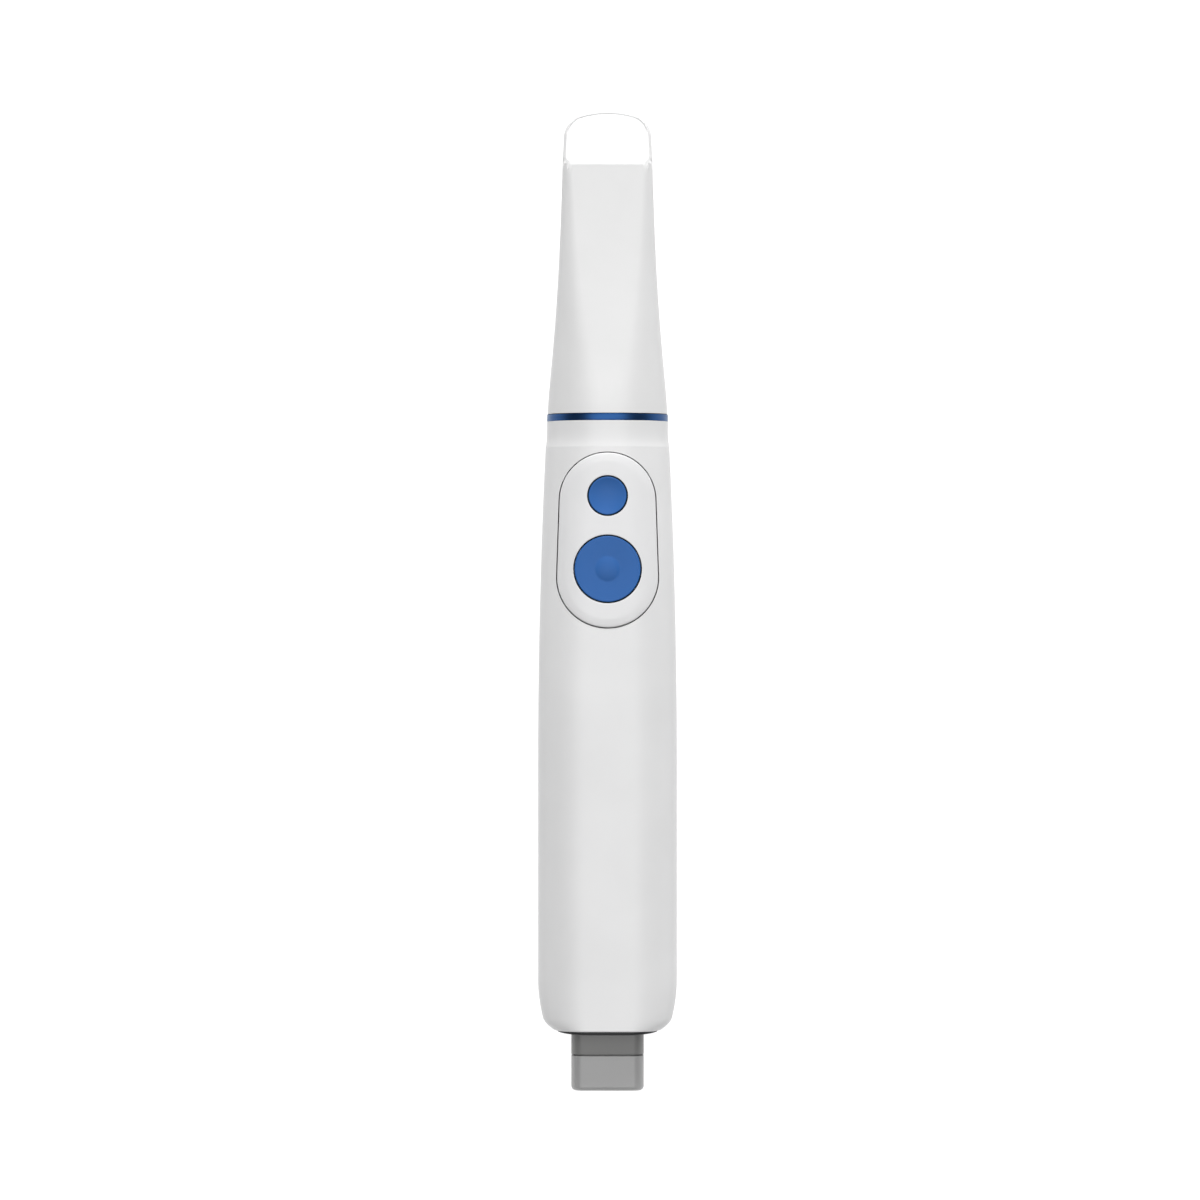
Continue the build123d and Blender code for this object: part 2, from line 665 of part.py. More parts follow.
with BuildPart() as front_shell:
    add(grip_housing.part)
    split(bisect_by=Plane.XY.offset(AXIS_HEIGHT), keep=Keep.TOP)
    extrude(panel_outline(PANEL_GAP), amount=2 * GRIP_RISE, mode=Mode.SUBTRACT)
front_shell.part.label = "front_shell"

with BuildPart() as rear_shell:
    add(grip_housing.part)
    split(bisect_by=Plane.XY.offset(AXIS_HEIGHT), keep=Keep.BOTTOM)
    with Locations(*[(x, y, BOSS_BASE) for x, y in MAIN_SCREW_POINTS]):
        Cylinder(
            BOSS_RADIUS,
            MAIN_BOARD_BOTTOM - BOSS_BASE,
            align=(Align.CENTER, Align.CENTER, Align.MIN),
        )
    with Locations(*[(x, y, BOSS_BASE) for x, y in FOOT_SCREW_POINTS]):
        Cylinder(
            BOSS_RADIUS, BLOCK_BOTTOM - BOSS_BASE, align=(Align.CENTER, Align.CENTER, Align.MIN)
        )
    cut_screw_holes(MAIN_SCREW_POINTS, MAIN_BOARD_BOTTOM, SCREW_LENGTH)
    cut_screw_holes(FOOT_SCREW_POINTS, BLOCK_BOTTOM, SCREW_LENGTH)
rear_shell.part.label = "rear_shell"

# Raised button panel, with a tab at its lower end that hooks under the front shell
TAB_UNDERSIDE = GRIP_WALL + FIT + PANEL_TAB_THICKNESS
TAB_FRONT = LARGE_BUTTON_Y - LARGE_BUTTON_RADIUS - BUTTON_FLANGE - 6 * FIT


def panel_layer(outer, inner, growth):
    """Layer of the grip between two depths, within the panel's outline grown by growth."""
    with BuildPart() as layer:
        loft(swell_sections(outer))
        loft(swell_sections(inner), mode=Mode.SUBTRACT)
        extrude(panel_outline(growth), amount=2 * GRIP_RISE, mode=Mode.INTERSECT)
    return layer.part


with BuildPart() as panel_tab:
    add(panel_layer(GRIP_WALL + FIT, TAB_UNDERSIDE, PANEL_TAB))
    add(panel_layer(GRIP_WALL / 2, TAB_UNDERSIDE, 0))
    with Locations((0, TAB_FRONT, AXIS_HEIGHT)):
        Box(
            PANEL_TAB_WIDTH,
            PANEL_BOTTOM_WIDTH,
            4 * GRIP_RISE,
            align=(Align.CENTER, Align.MAX, Align.CENTER),
            mode=Mode.INTERSECT,
        )

with BuildPart() as button_panel:
    add(panel_layer(-PANEL_PROUD, GRIP_WALL, 0))
    crown_faces = [face for face in faces() if face.normal_at().Z > 0.2]
    rim_edges = [
        edge
        for face in crown_faces
        for edge in face.edges()
        if sum(edge in other.edges() for other in crown_faces) == 1
    ]
    fillet(rim_edges, PANEL_EDGE_ROUND)
    add(panel_tab.part)
    with Locations((0, SMALL_BUTTON_Y, AXIS_HEIGHT)):
        Cylinder(SMALL_BUTTON_RADIUS + BUTTON_GAP, 4 * GRIP_RISE, mode=Mode.SUBTRACT)
    with Locations((0, LARGE_BUTTON_Y, AXIS_HEIGHT)):
        Cylinder(LARGE_BUTTON_RADIUS + BUTTON_GAP, 4 * GRIP_RISE, mode=Mode.SUBTRACT)
button_panel.part.label = "button_panel"

# Push buttons
with BuildPart() as small_button:
    reach = SMALL_BUTTON_RADIUS + BUTTON_FLANGE
    revolve(
        button_profile(
            SMALL_BUTTON_Y,
            SMALL_BUTTON_RADIUS,
            panel_height(SMALL_BUTTON_SETBACK, 0, -PANEL_PROUD) - BUTTON_SINK,
            panel_height(SMALL_BUTTON_SETBACK - reach, reach, GRIP_WALL) - 3 * FIT,
            SMALL_BUTTON_DISH,
            0,
            0,
        ),
        axis=Axis((0, SMALL_BUTTON_Y, 0), (0, 0, 1)),
    )
small_button.part.label = "small_button"

with BuildPart() as large_button:
    reach = LARGE_BUTTON_RADIUS + BUTTON_FLANGE
    revolve(
        button_profile(
            LARGE_BUTTON_Y,
            LARGE_BUTTON_RADIUS,
            panel_height(LARGE_BUTTON_SETBACK, 0, -PANEL_PROUD) - BUTTON_SINK,
            panel_height(LARGE_BUTTON_SETBACK - reach, reach, GRIP_WALL) - 3 * FIT,
            LARGE_BUTTON_DISH,
            DOME_RADIUS,
            DOME_HEIGHT,
        ),
        axis=Axis((0, LARGE_BUTTON_Y, 0), (0, 0, 1)),
    )
large_button.part.label = "large_button"

# Switches under the buttons
for name, y in (("small", SMALL_BUTTON_Y), ("large", LARGE_BUTTON_Y)):
    with BuildPart() as switch:
        with Locations((0, y, BUTTON_BOARD_TOP)):
            Box(
                SWITCH_SIDE,
                SWITCH_SIDE,
                SWITCH_HEIGHT,
                align=(Align.CENTER, Align.CENTER, Align.MIN),
            )
        with Locations((0, y, SWITCH_TOP)):
            Cylinder(
                PLUNGER_RADIUS + PLUNGER_CLEARANCE,
                PLUNGER_TAIL + BUTTON_TRAVEL + PLUNGER_CLEARANCE,
                align=(Align.CENTER, Align.CENTER, Align.MAX),
                mode=Mode.SUBTRACT,
            )
    switch.part.label = f"{name}_switch"
    with BuildPart() as plunger:
        with Locations((0, y, STEM_BOTTOM)):
            Cylinder(
                PLUNGER_RADIUS,
                PLUNGER_PROUD + PLUNGER_TAIL,
                align=(Align.CENTER, Align.CENTER, Align.MAX),
            )
    plunger.part.label = f"{name}_switch_plunger"
    if name == "small":
        small_switch, small_switch_plunger = switch, plunger
    else:
        large_switch, large_switch_plunger = switch, plunger

# Button board
with BuildPart() as button_board:
    with Locations((0, SHOULDER - BUTTON_BOARD_SETBACK, BUTTON_BOARD_BOTTOM)):
        Box(
            BUTTON_BOARD_WIDTH,
            BUTTON_BOARD_LENGTH,
            BUTTON_BOARD_THICKNESS,
            align=(Align.CENTER, Align.MAX, Align.MIN),
        )
    cut_screw_holes(BUTTON_SCREW_POINTS, BUTTON_BOARD_TOP, 2 * BUTTON_BOARD_THICKNESS)
button_board.part.label = "button_board"

with BuildPart() as button_board_screws:
    add_screws(BUTTON_SCREW_POINTS, BUTTON_BOARD_TOP, 0.75 * SCREW_LENGTH)
button_board_screws.part.label = "button_board_screws"

# Optics block with its mounting foot, bored for the three barrels
BARRELS = {"projector": (0, PROJECTOR_RADIUS)}
BARRELS["left_camera"] = (-CAMERA_OFFSET, CAMERA_RADIUS)
BARRELS["right_camera"] = (CAMERA_OFFSET, CAMERA_RADIUS)
BARREL_FRONT = SHOULDER + BARREL_REACH
BARREL_LENGTH = BARREL_FRONT - BLOCK_BACK
with BuildPart() as optics_block:
    with Locations((0, BLOCK_FRONT, BLOCK_BOTTOM)):
        Box(
            OPTICS_BLOCK_WIDTH,
            OPTICS_BLOCK_LENGTH,
            BUTTON_BOARD_BOTTOM - BLOCK_BOTTOM,
            align=(Align.CENTER, Align.MAX, Align.MIN),
        )
        Box(
            OPTICS_BLOCK_WIDTH,
            OPTICS_BLOCK_LENGTH + OPTICS_FOOT_LENGTH,
            OPTICS_FOOT_THICKNESS,
            align=(Align.CENTER, Align.MAX, Align.MIN),
        )
    for x, radius in BARRELS.values():
        with BuildSketch(Plane.XZ.offset(-BLOCK_FRONT)):
            with Locations((x, OPTICAL_AXIS)):
                Circle(radius + FIT)
        extrude(amount=OPTICS_BLOCK_LENGTH, mode=Mode.SUBTRACT)
    cut_screw_holes(FOOT_SCREW_POINTS, BLOCK_BOTTOM + OPTICS_FOOT_THICKNESS, 2 * OPTICS_FOOT_THICKNESS)
    cut_screw_holes(BUTTON_SCREW_POINTS, BUTTON_BOARD_BOTTOM, 0.65 * SCREW_LENGTH)
optics_block.part.label = "optics_block"

with BuildPart() as optics_screws:
    add_screws(FOOT_SCREW_POINTS, BLOCK_BOTTOM + OPTICS_FOOT_THICKNESS, SCREW_LENGTH)
optics_screws.part.label = "optics_screws"

# Lens barrels and lenses of the projector and the two cameras
optics_pieces = {}
for name, (x, radius) in BARRELS.items():
    seat = radius - BARREL_WALL / 2
    with BuildPart() as barrel:
        with BuildSketch(Plane.XZ.offset(-BARREL_FRONT)):
            with Locations((x, OPTICAL_AXIS)):
                Circle(radius)
                Circle(radius - BARREL_WALL, mode=Mode.SUBTRACT)
        extrude(amount=BARREL_LENGTH)
        with BuildSketch(Plane.XZ.offset(-BARREL_FRONT)):
            with Locations((x, OPTICAL_AXIS)):
                Circle(seat)
        extrude(amount=LENS_THICKNESS, mode=Mode.SUBTRACT)
    barrel.part.label = f"{name}_barrel"
    optics_pieces[barrel.part.label] = barrel.part
    with BuildPart() as lens:
        with BuildSketch(Plane.XY.offset(OPTICAL_AXIS)):
            with BuildLine():
                lens_back = BARREL_FRONT - LENS_THICKNESS
                lens_edge = BARREL_FRONT - LENS_CROWN
                rim = Polyline(
                    (x, lens_back), (x + seat - FIT, lens_back), (x + seat - FIT, lens_edge)
                )
                half = (seat - FIT) / 2
                crown = ThreePointArc(
                    rim @ 1,
                    (x + half, lens_edge + cap_rise(half, 2 * half, LENS_CROWN)),
                    (x, BARREL_FRONT),
                )
                Line(crown @ 1, rim @ 0)
            make_face()
        revolve(axis=Axis((x, 0, OPTICAL_AXIS), (0, 1, 0)))
    lens.part.label = f"{name}_lens"
    optics_pieces[lens.part.label] = lens.part

# Sensor boards behind the cameras, light source board and heat sink behind the projector
for name in ("left_camera", "right_camera"):
    x = BARRELS[name][0]
    with BuildPart() as sensor_board:
        with Locations((x, BLOCK_BACK, OPTICAL_AXIS)):
            Box(
                SENSOR_BOARD_SIDE,
                SENSOR_BOARD_THICKNESS,
                SENSOR_BOARD_SIDE,
                align=(Align.CENTER, Align.MAX, Align.CENTER),
            )
    sensor_board.part.label = f"{name}_board"
    optics_pieces[sensor_board.part.label] = sensor_board.part

with BuildPart() as projector_board:
    with Locations((0, BLOCK_BACK, OPTICAL_AXIS)):
        Box(
            PROJECTOR_BOARD_WIDTH,
            SENSOR_BOARD_THICKNESS,
            PROJECTOR_BOARD_HEIGHT,
            align=(Align.CENTER, Align.MAX, Align.CENTER),
        )
projector_board.part.label = "projector_board"

SINK_FRONT = BLOCK_BACK - SENSOR_BOARD_THICKNESS
FIN_PITCH = (PROJECTOR_BOARD_WIDTH - HEAT_SINK_FIN) / (HEAT_SINK_FINS - 1)
with BuildPart() as heat_sink:
    with Locations((0, SINK_FRONT, OPTICAL_AXIS)):
        Box(
            PROJECTOR_BOARD_WIDTH,
            HEAT_SINK_BASE,
            PROJECTOR_BOARD_HEIGHT,
            align=(Align.CENTER, Align.MAX, Align.CENTER),
        )
    with Locations((0, SINK_FRONT - HEAT_SINK_LENGTH / 2, OPTICAL_AXIS)):
        with GridLocations(FIN_PITCH, 1, HEAT_SINK_FINS, 1):
            Box(HEAT_SINK_FIN, HEAT_SINK_LENGTH, PROJECTOR_BOARD_HEIGHT)
heat_sink.part.label = "heat_sink"

# Main board, its chips and its screws
with BuildPart() as main_board:
    with Locations((0, MAIN_BOARD_FRONT, MAIN_BOARD_BOTTOM)):
        Box(
            MAIN_BOARD_WIDTH,
            MAIN_BOARD_LENGTH,
            MAIN_BOARD_THICKNESS,
            align=(Align.CENTER, Align.MAX, Align.MIN),
        )
    cut_screw_holes(MAIN_SCREW_POINTS, MAIN_BOARD_TOP, 2 * MAIN_BOARD_THICKNESS)
main_board.part.label = "main_board"

CHIP_STEP = (PROCESSOR_SIDE + MEMORY_LENGTH) / 2 + CHIP_SPACING
MAIN_BOARD_MIDDLE = MAIN_BOARD_FRONT - MAIN_BOARD_LENGTH / 2
with BuildPart() as board_chips:
    with Locations((0, MAIN_BOARD_MIDDLE, MAIN_BOARD_TOP)):
        Box(
            PROCESSOR_SIDE,
            PROCESSOR_SIDE,
            CHIP_HEIGHT,
            align=(Align.CENTER, Align.CENTER, Align.MIN),
        )
    with Locations((0, MAIN_BOARD_MIDDLE, MAIN_BOARD_TOP)):
        with GridLocations(MEMORY_WIDTH + CHIP_SPACING, 2 * CHIP_STEP, 2, 2):
            Box(
                MEMORY_WIDTH,
                MEMORY_LENGTH,
                CHIP_HEIGHT,
                align=(Align.CENTER, Align.CENTER, Align.MIN),
            )
board_chips.part.label = "board_chips"

with BuildPart() as board_screws:
    add_screws(MAIN_SCREW_POINTS, MAIN_BOARD_TOP, SCREW_LENGTH)
board_screws.part.label = "board_screws"

# Dark tail plate around the connector
with BuildPart() as tail_plate:
    extrude(plate_outline(PLATE_END, 0), amount=-TAIL_PLATE_THICKNESS)
    fillet(faces().sort_by(Axis.Y)[0].edges(), TAIL_PLATE_ROUND)
    extrude(
        connector_outline(PLATE_END, -FIT), amount=-TAIL_PLATE_THICKNESS, mode=Mode.SUBTRACT
    )
tail_plate.part.label = "tail_plate"

# Connector: a collar flanged inside the tail, and a shell with the cable socket
with BuildPart() as connector_collar:
    extrude(connector_outline(COLLAR_END, 0), amount=COLLAR_END - COLLAR_FRONT)
    extrude(connector_outline(COLLAR_FRONT, -CONNECTOR_FLANGE), amount=-CONNECTOR_FLANGE_THICKNESS)
    extrude(
        connector_outline(COLLAR_END, CONNECTOR_WALL),
        amount=COLLAR_END - COLLAR_FRONT - CONNECTOR_FLANGE_THICKNESS,
        mode=Mode.SUBTRACT,
    )
connector_collar.part.label = "connector_collar"

SPIGOT_FRONT = SHELL_START + SHELL_SPIGOT_LENGTH
with BuildPart() as connector_shell:
    extrude(connector_outline(SHELL_END, 0), amount=SHELL_END - SHELL_START)
    fillet(faces().sort_by(Axis.Y)[0].edges(), CONNECTOR_END_ROUND)
    extrude(connector_outline(SHELL_START, CONNECTOR_WALL + FIT), amount=-SHELL_SPIGOT_LENGTH)
    extrude(socket_outline(SHELL_END, 0), amount=SHELL_END - SPIGOT_FRONT, mode=Mode.SUBTRACT)
connector_shell.part.label = "connector_shell"

CONTACT_LENGTH = SPIGOT_FRONT - SHELL_END - SOCKET_REACH
INSERT_BACK = SHELL_END + SOCKET_REACH
with BuildPart() as connector_insert:
    extrude(socket_outline(INSERT_BACK, FIT), amount=-CONTACT_LENGTH)
    extrude(
        contact_circles(INSERT_BACK, CONTACT_RADIUS + FIT / 2),
        amount=-CONTACT_LENGTH,
        mode=Mode.SUBTRACT,
    )
connector_insert.part.label = "connector_insert"

with BuildPart() as connector_contacts:
    extrude(
        contact_circles(INSERT_BACK - CONTACT_PROUD, CONTACT_RADIUS),
        amount=-CONTACT_LENGTH - CONTACT_PROUD,
    )
connector_contacts.part.label = "connector_contacts"

with BuildPart() as connector_board:
    extrude(
        connector_outline(SPIGOT_FRONT, CONNECTOR_WALL + 2 * FIT),
        amount=-CONNECTOR_BOARD_THICKNESS,
    )
connector_board.part.label = "connector_board"

PIECES = [
    tip_shell.part,
    tip_mirror.part,
    accent_ring.part,
    nose_collar.part,
    nose_tube.part,
    nose_window.part,
    nose_seal.part,
    front_shell.part,
    rear_shell.part,
    button_panel.part,
    small_button.part,
    large_button.part,
    small_switch.part,
    small_switch_plunger.part,
    large_switch.part,
    large_switch_plunger.part,
    button_board.part,
    button_board_screws.part,
    optics_block.part,
    optics_screws.part,
    projector_board.part,
    heat_sink.part,
    main_board.part,
    board_chips.part,
    board_screws.part,
    tail_plate.part,
    connector_collar.part,
    connector_shell.part,
    connector_insert.part,
    connector_contacts.part,
    connector_board.part,
]
PIECES.extend(optics_pieces.values())

os.makedirs("parts", exist_ok=True)
for piece in PIECES:
    export_step(piece, f"parts/{piece.label}.step")
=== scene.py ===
"""Intraoral scanner: the wand's visible pieces, their finishes, and the studio it lies in.

The wand's stations and sizes are in millimetres. Meshes and the studio are in metres.
"""

import logging
import math
from dataclasses import astuple, dataclass
from enum import Enum
from typing import Iterable, Sequence

import bmesh
import bpy
from bmesh.types import BMEdge, BMesh, BMFace, BMVert
from mathutils import Matrix, Vector


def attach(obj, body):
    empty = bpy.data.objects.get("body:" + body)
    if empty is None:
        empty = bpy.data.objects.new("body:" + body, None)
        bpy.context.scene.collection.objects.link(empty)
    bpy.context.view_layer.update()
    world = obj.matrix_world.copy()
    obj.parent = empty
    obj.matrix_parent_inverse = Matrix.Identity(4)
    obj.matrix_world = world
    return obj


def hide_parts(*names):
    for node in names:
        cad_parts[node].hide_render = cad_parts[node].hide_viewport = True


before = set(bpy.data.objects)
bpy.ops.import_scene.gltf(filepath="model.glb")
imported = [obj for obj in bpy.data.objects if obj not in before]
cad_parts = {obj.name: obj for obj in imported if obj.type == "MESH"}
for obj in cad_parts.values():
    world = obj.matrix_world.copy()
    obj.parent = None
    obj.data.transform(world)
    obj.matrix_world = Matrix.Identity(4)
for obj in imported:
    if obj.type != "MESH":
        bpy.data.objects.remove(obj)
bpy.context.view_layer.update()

log = logging.getLogger("scanner")

MM = 0.001  # metres in a millimetre
WELD = 1e-7  # metres between points that become one
NEAR = 1e-6  # a distance that makes no difference
LEAST_CORNER = 0.15  # tightest corner of an outline, in millimetres
MID_EDGE = 0.3  # place of a softened edge's middle ring, as a share of the edge
SHARP = 32.0  # degrees past which an edge is drawn sharp
NOISE_SPAN = (0.3, 0.7)  # where most of a noise texture's values lie

Ring = list[BMEdge]
Point = tuple[float, float]
Span = tuple[float, float]
Place = tuple[float, float, float]
Colour = tuple[float, float, float]
Station = tuple[float, "Outline"]


class Body(Enum):
    """Rigid bodies that pieces ride on."""

    HANDLE = "handle"
    TIP = "tip"
    SMALL_BUTTON = "small_button"
    LARGE_BUTTON = "large_button"


@dataclass(frozen=True)
class Finish:
    """A moulded, painted or machined surface.

    Sizes of grain and mottle are in waves per metre, and depths in metres.
    """

    name: str
    base: Colour
    roughness: Span = (0.35, 0.45)
    mottle: float = 0.02
    mottle_scale: float = 60.0
    mottle_detail: float = 3.0
    grain_scale: float = 2500.0
    grain_detail: float = 2.0
    grain_depth: float = 0.00002
    grain_strength: float = 0.15
    stretch: Place = (1.0, 1.0, 1.0)
    metallic: float = 0.0
    coat: float = 0.0
    coat_roughness: float = 0.12
    specular: float = 0.5
    edge_tint: Colour = (1.0, 1.0, 1.0)
    transmission: float = 0.0
    ior: float = 1.5
    glow: float = 0.0

    def material(self) -> bpy.types.Material:
        """Make the finish as a node material, on the first call alone."""
        made = bpy.data.materials.get(self.name)
        if made is not None:
            return made
        made = bpy.data.materials.new(self.name)
        made.use_nodes = True
        tree = made.node_tree
        shader = tree.nodes["Principled BSDF"]
        for socket, value in (
            ("Metallic", self.metallic),
            ("Coat Weight", self.coat),
            ("Coat Roughness", self.coat_roughness),
            ("Specular IOR Level", self.specular),
            ("Specular Tint", (*self.edge_tint, 1.0)),
            ("Transmission Weight", self.transmission),
            ("IOR", self.ior),
            ("Emission Color", (1.0, 1.0, 1.0, 1.0)),
            ("Emission Strength", self.glow),
        ):
            shader.inputs[socket].default_value = value
        place = tree.nodes.new("ShaderNodeTexCoord")
        mapping = tree.nodes.new("ShaderNodeMapping")
        mapping.inputs["Scale"].default_value = self.stretch
        tree.links.new(place.outputs["Object"], mapping.inputs["Vector"])
        self._tint(tree, mapping, shader)
        self._grain(tree, mapping, shader)
        return made

    def _tint(
        self, tree: bpy.types.NodeTree, mapping: bpy.types.Node, shader: bpy.types.Node
    ) -> None:
        """Vary the base colour a little over the surface."""
        noise = tree.nodes.new("ShaderNodeTexNoise")
        noise.inputs["Scale"].default_value = self.mottle_scale
        noise.inputs["Detail"].default_value = self.mottle_detail
        tones = tree.nodes.new("ShaderNodeValToRGB")
        low, high = tones.color_ramp.elements
        low.position, high.position = NOISE_SPAN
        low.color = (*[c * (1 - self.mottle) for c in self.base], 1)
        high.color = (*[min(1, c * (1 + self.mottle)) for c in self.base], 1)
        tree.links.new(mapping.outputs["Vector"], noise.inputs["Vector"])
        tree.links.new(noise.outputs["Fac"], tones.inputs["Fac"])
        tree.links.new(tones.outputs["Color"], shader.inputs["Base Color"])

    def _grain(
        self, tree: bpy.types.NodeTree, mapping: bpy.types.Node, shader: bpy.types.Node
    ) -> None:
        """Give the surface its fine grain, in roughness and in relief."""
        noise = tree.nodes.new("ShaderNodeTexNoise")
        noise.inputs["Scale"].default_value = self.grain_scale
        noise.inputs["Detail"].default_value = self.grain_detail
        spread = tree.nodes.new("ShaderNodeMapRange")
        for end, source, result in zip(("Min", "Max"), NOISE_SPAN, self.roughness):
            spread.inputs["From " + end].default_value = source
            spread.inputs["To " + end].default_value = result
        bump = tree.nodes.new("ShaderNodeBump")
        bump.inputs["Strength"].default_value = self.grain_strength
        bump.inputs["Distance"].default_value = self.grain_depth
        tree.links.new(mapping.outputs["Vector"], noise.inputs["Vector"])
        tree.links.new(noise.outputs["Fac"], spread.inputs["Value"])
        tree.links.new(spread.outputs["Result"], shader.inputs["Roughness"])
        tree.links.new(noise.outputs["Fac"], bump.inputs["Height"])
        tree.links.new(bump.outputs["Normal"], shader.inputs["Normal"])


WHITE_GRIP = Finish("satin_white_grip", (0.66, 0.66, 0.662), (0.32, 0.4))
WHITE_TIP = Finish("satin_white_tip", (0.67, 0.67, 0.67), (0.34, 0.42))
WHITE_PANEL = Finish("satin_white_panel", (0.66, 0.66, 0.665), (0.42, 0.5), grain_strength=0.2)
BLUE_BUTTON = Finish("blue_button", (0.013, 0.1, 0.335), (0.4, 0.5), mottle=0.04, specular=0.3)
BLUE_RING = Finish(
    "blue_ring",
    (0.022, 0.072, 0.205),
    (0.32, 0.42),
    mottle=0.05,
    stretch=(0.05, 1.0, 0.05),
    metallic=1.0,
    edge_tint=(0.95, 1.0, 1.0),
)
DARK_PLATE = Finish("dark_plate", (0.018, 0.0185, 0.02), (0.5, 0.6), mottle=0.08)
GREY_CONNECTOR = Finish("grey_connector", (0.39, 0.39, 0.39), (0.34, 0.42), coat=0.3)
GREY_COLLAR = Finish("grey_collar", (0.21, 0.21, 0.207), (0.36, 0.44), coat=0.1)
BLACK_NOSE = Finish("black_nose", (0.018, 0.018, 0.019), (0.45, 0.6), mottle=0.1)
MIRROR_COAT = Finish(
    "mirror_coat", (0.9, 0.9, 0.92), (0.03, 0.05), metallic=1.0, grain_strength=0.0
)
CLEAR_WINDOW = Finish(
    "clear_window", (0.92, 0.96, 0.97), (0.02, 0.04), transmission=1.0, grain_strength=0.0
)
COATED_LENS = Finish(
    "coated_lens", (0.75, 0.85, 0.98), (0.02, 0.04), transmission=0.85, coat=1.0, grain_strength=0.0
)
# painted shade: a near-black finish for the sleeves that paint the shadow in the gaps round the
# buttons
PAINTED_GAP_SHADE = Finish("painted_gap_shade", (0.004, 0.009, 0.02), (0.6, 0.7), mottle=0.1, specular=0.2)
SEAL_RUBBER = Finish("soft_seal", (0.02, 0.02, 0.02), (0.7, 0.8), mottle=0.1)
MACHINED_METAL = Finish(
    "machined_metal", (0.58, 0.59, 0.61), (0.28, 0.4), metallic=1.0, stretch=(0.2, 1.0, 0.2)
)
BLACK_METAL = Finish("black_metal", (0.03, 0.03, 0.032), (0.35, 0.45), metallic=0.6)
GREEN_BOARD = Finish("green_board", (0.02, 0.12, 0.05), (0.3, 0.4), mottle=0.25, mottle_scale=400.0)
BLACK_CHIP = Finish("black_chip", (0.02, 0.02, 0.022), (0.5, 0.6), mottle=0.1)
PLAIN_STEEL = Finish("plain_steel", (0.55, 0.55, 0.56), (0.25, 0.35), metallic=1.0)
GOLD_CONTACT = Finish("gold_contact", (0.85, 0.62, 0.25), (0.2, 0.3), metallic=1.0)
LIGHT_TABLE = Finish(
    "light_table", (0.25, 0.25, 0.25), (0.7, 0.8), mottle=0.004, specular=0.2, glow=0.92
)

CARRIED_NODES: dict[Finish, tuple[str, ...]] = {
    MIRROR_COAT: ("tip_mirror",),
    BLACK_NOSE: ("nose_tube", "connector_insert"),
    CLEAR_WINDOW: ("nose_window",),
    SEAL_RUBBER: ("nose_seal",),
    BLACK_CHIP: (
        "small_switch",
        "small_switch_plunger",
        "large_switch",
        "large_switch_plunger",
        "board_chips",
    ),
    GREEN_BOARD: (
        "button_board",
        "left_camera_board",
        "right_camera_board",
        "projector_board",
        "main_board",
        "connector_board",
    ),
    PLAIN_STEEL: ("button_board_screws", "optics_screws", "board_screws"),
    MACHINED_METAL: ("optics_block", "heat_sink"),
    BLACK_METAL: ("projector_barrel", "left_camera_barrel", "right_camera_barrel"),
    COATED_LENS: ("projector_lens", "left_camera_lens", "right_camera_lens"),
    GOLD_CONTACT: ("connector_contacts",),
}


@dataclass(frozen=True)
class Outline:
    """Rounded cross-section about an axis along Y, in millimetres."""

    half: float
    rise: float
    drop: float
    corner: float

    def inset(self, depth: float) -> "Outline":
        """Draw the outline in by depth on every side."""
        corner = max(self.corner - depth, LEAST_CORNER)
        return Outline(self.half - depth, self.rise - depth, self.drop - depth, corner)

    def towards(self, other: "Outline", share: float) -> "Outline":
        """Blend every size towards another outline's by a share."""
        sizes = zip(astuple(self), astuple(other))
        return Outline(*[own + (aim - own) * share for own, aim in sizes])


@dataclass(frozen=True)
class Layout:
    """Stations, heights and outlines that the wand's pieces share, in millimetres."""

    axis: float = 16.7
    tail_axis: float = 16.9
    tip_end: float = 122.385
    tip_base: float = 46.315
    ring_front: float = 46.165
    ring_back: float = 44.445
    shoulder: float = 37.965
    tail: float = -106.99
    plate_end: float = -108.125
    collar_end: float = -113.345
    shell_start: float = -113.645
    shell_end: float = -122.385
    neck: Outline = Outline(15.1, 15.1, 15.1, 14.1)
    tip: Outline = Outline(14.95, 14.95, 14.95, 13.9)


LAYOUT = Layout()


def ramp(value: float, start: float, reach: float) -> float:
    """Rise from 0 at a start to 1 a reach past it, and stay there."""
    return min(max((value - start) / reach, 0.0), 1.0)


def ease_out(value: float, reach: float) -> float:
    """Rise fast at first and level off at 1 a reach along."""
    return 1 - (1 - ramp(value, 0.0, reach)) ** 2


def quarter(steps: int, first: int = 0) -> list[Point]:
    """Sine at each step of a quarter turn, and what the cosine has lost there."""
    angles = [math.pi / 2 * step / steps for step in range(first, steps + 1)]
    return [(math.sin(angle), 1 - math.cos(angle)) for angle in angles]


def unique(parts: Iterable) -> list:
    """Each part once, in the order that they first come in."""
    return list(dict.fromkeys(parts))


def link_loop(verts: Iterable[BMVert]) -> Ring:
    """The edges of a new loop of points."""
    return unique(edge for vert in verts for edge in vert.link_edges)


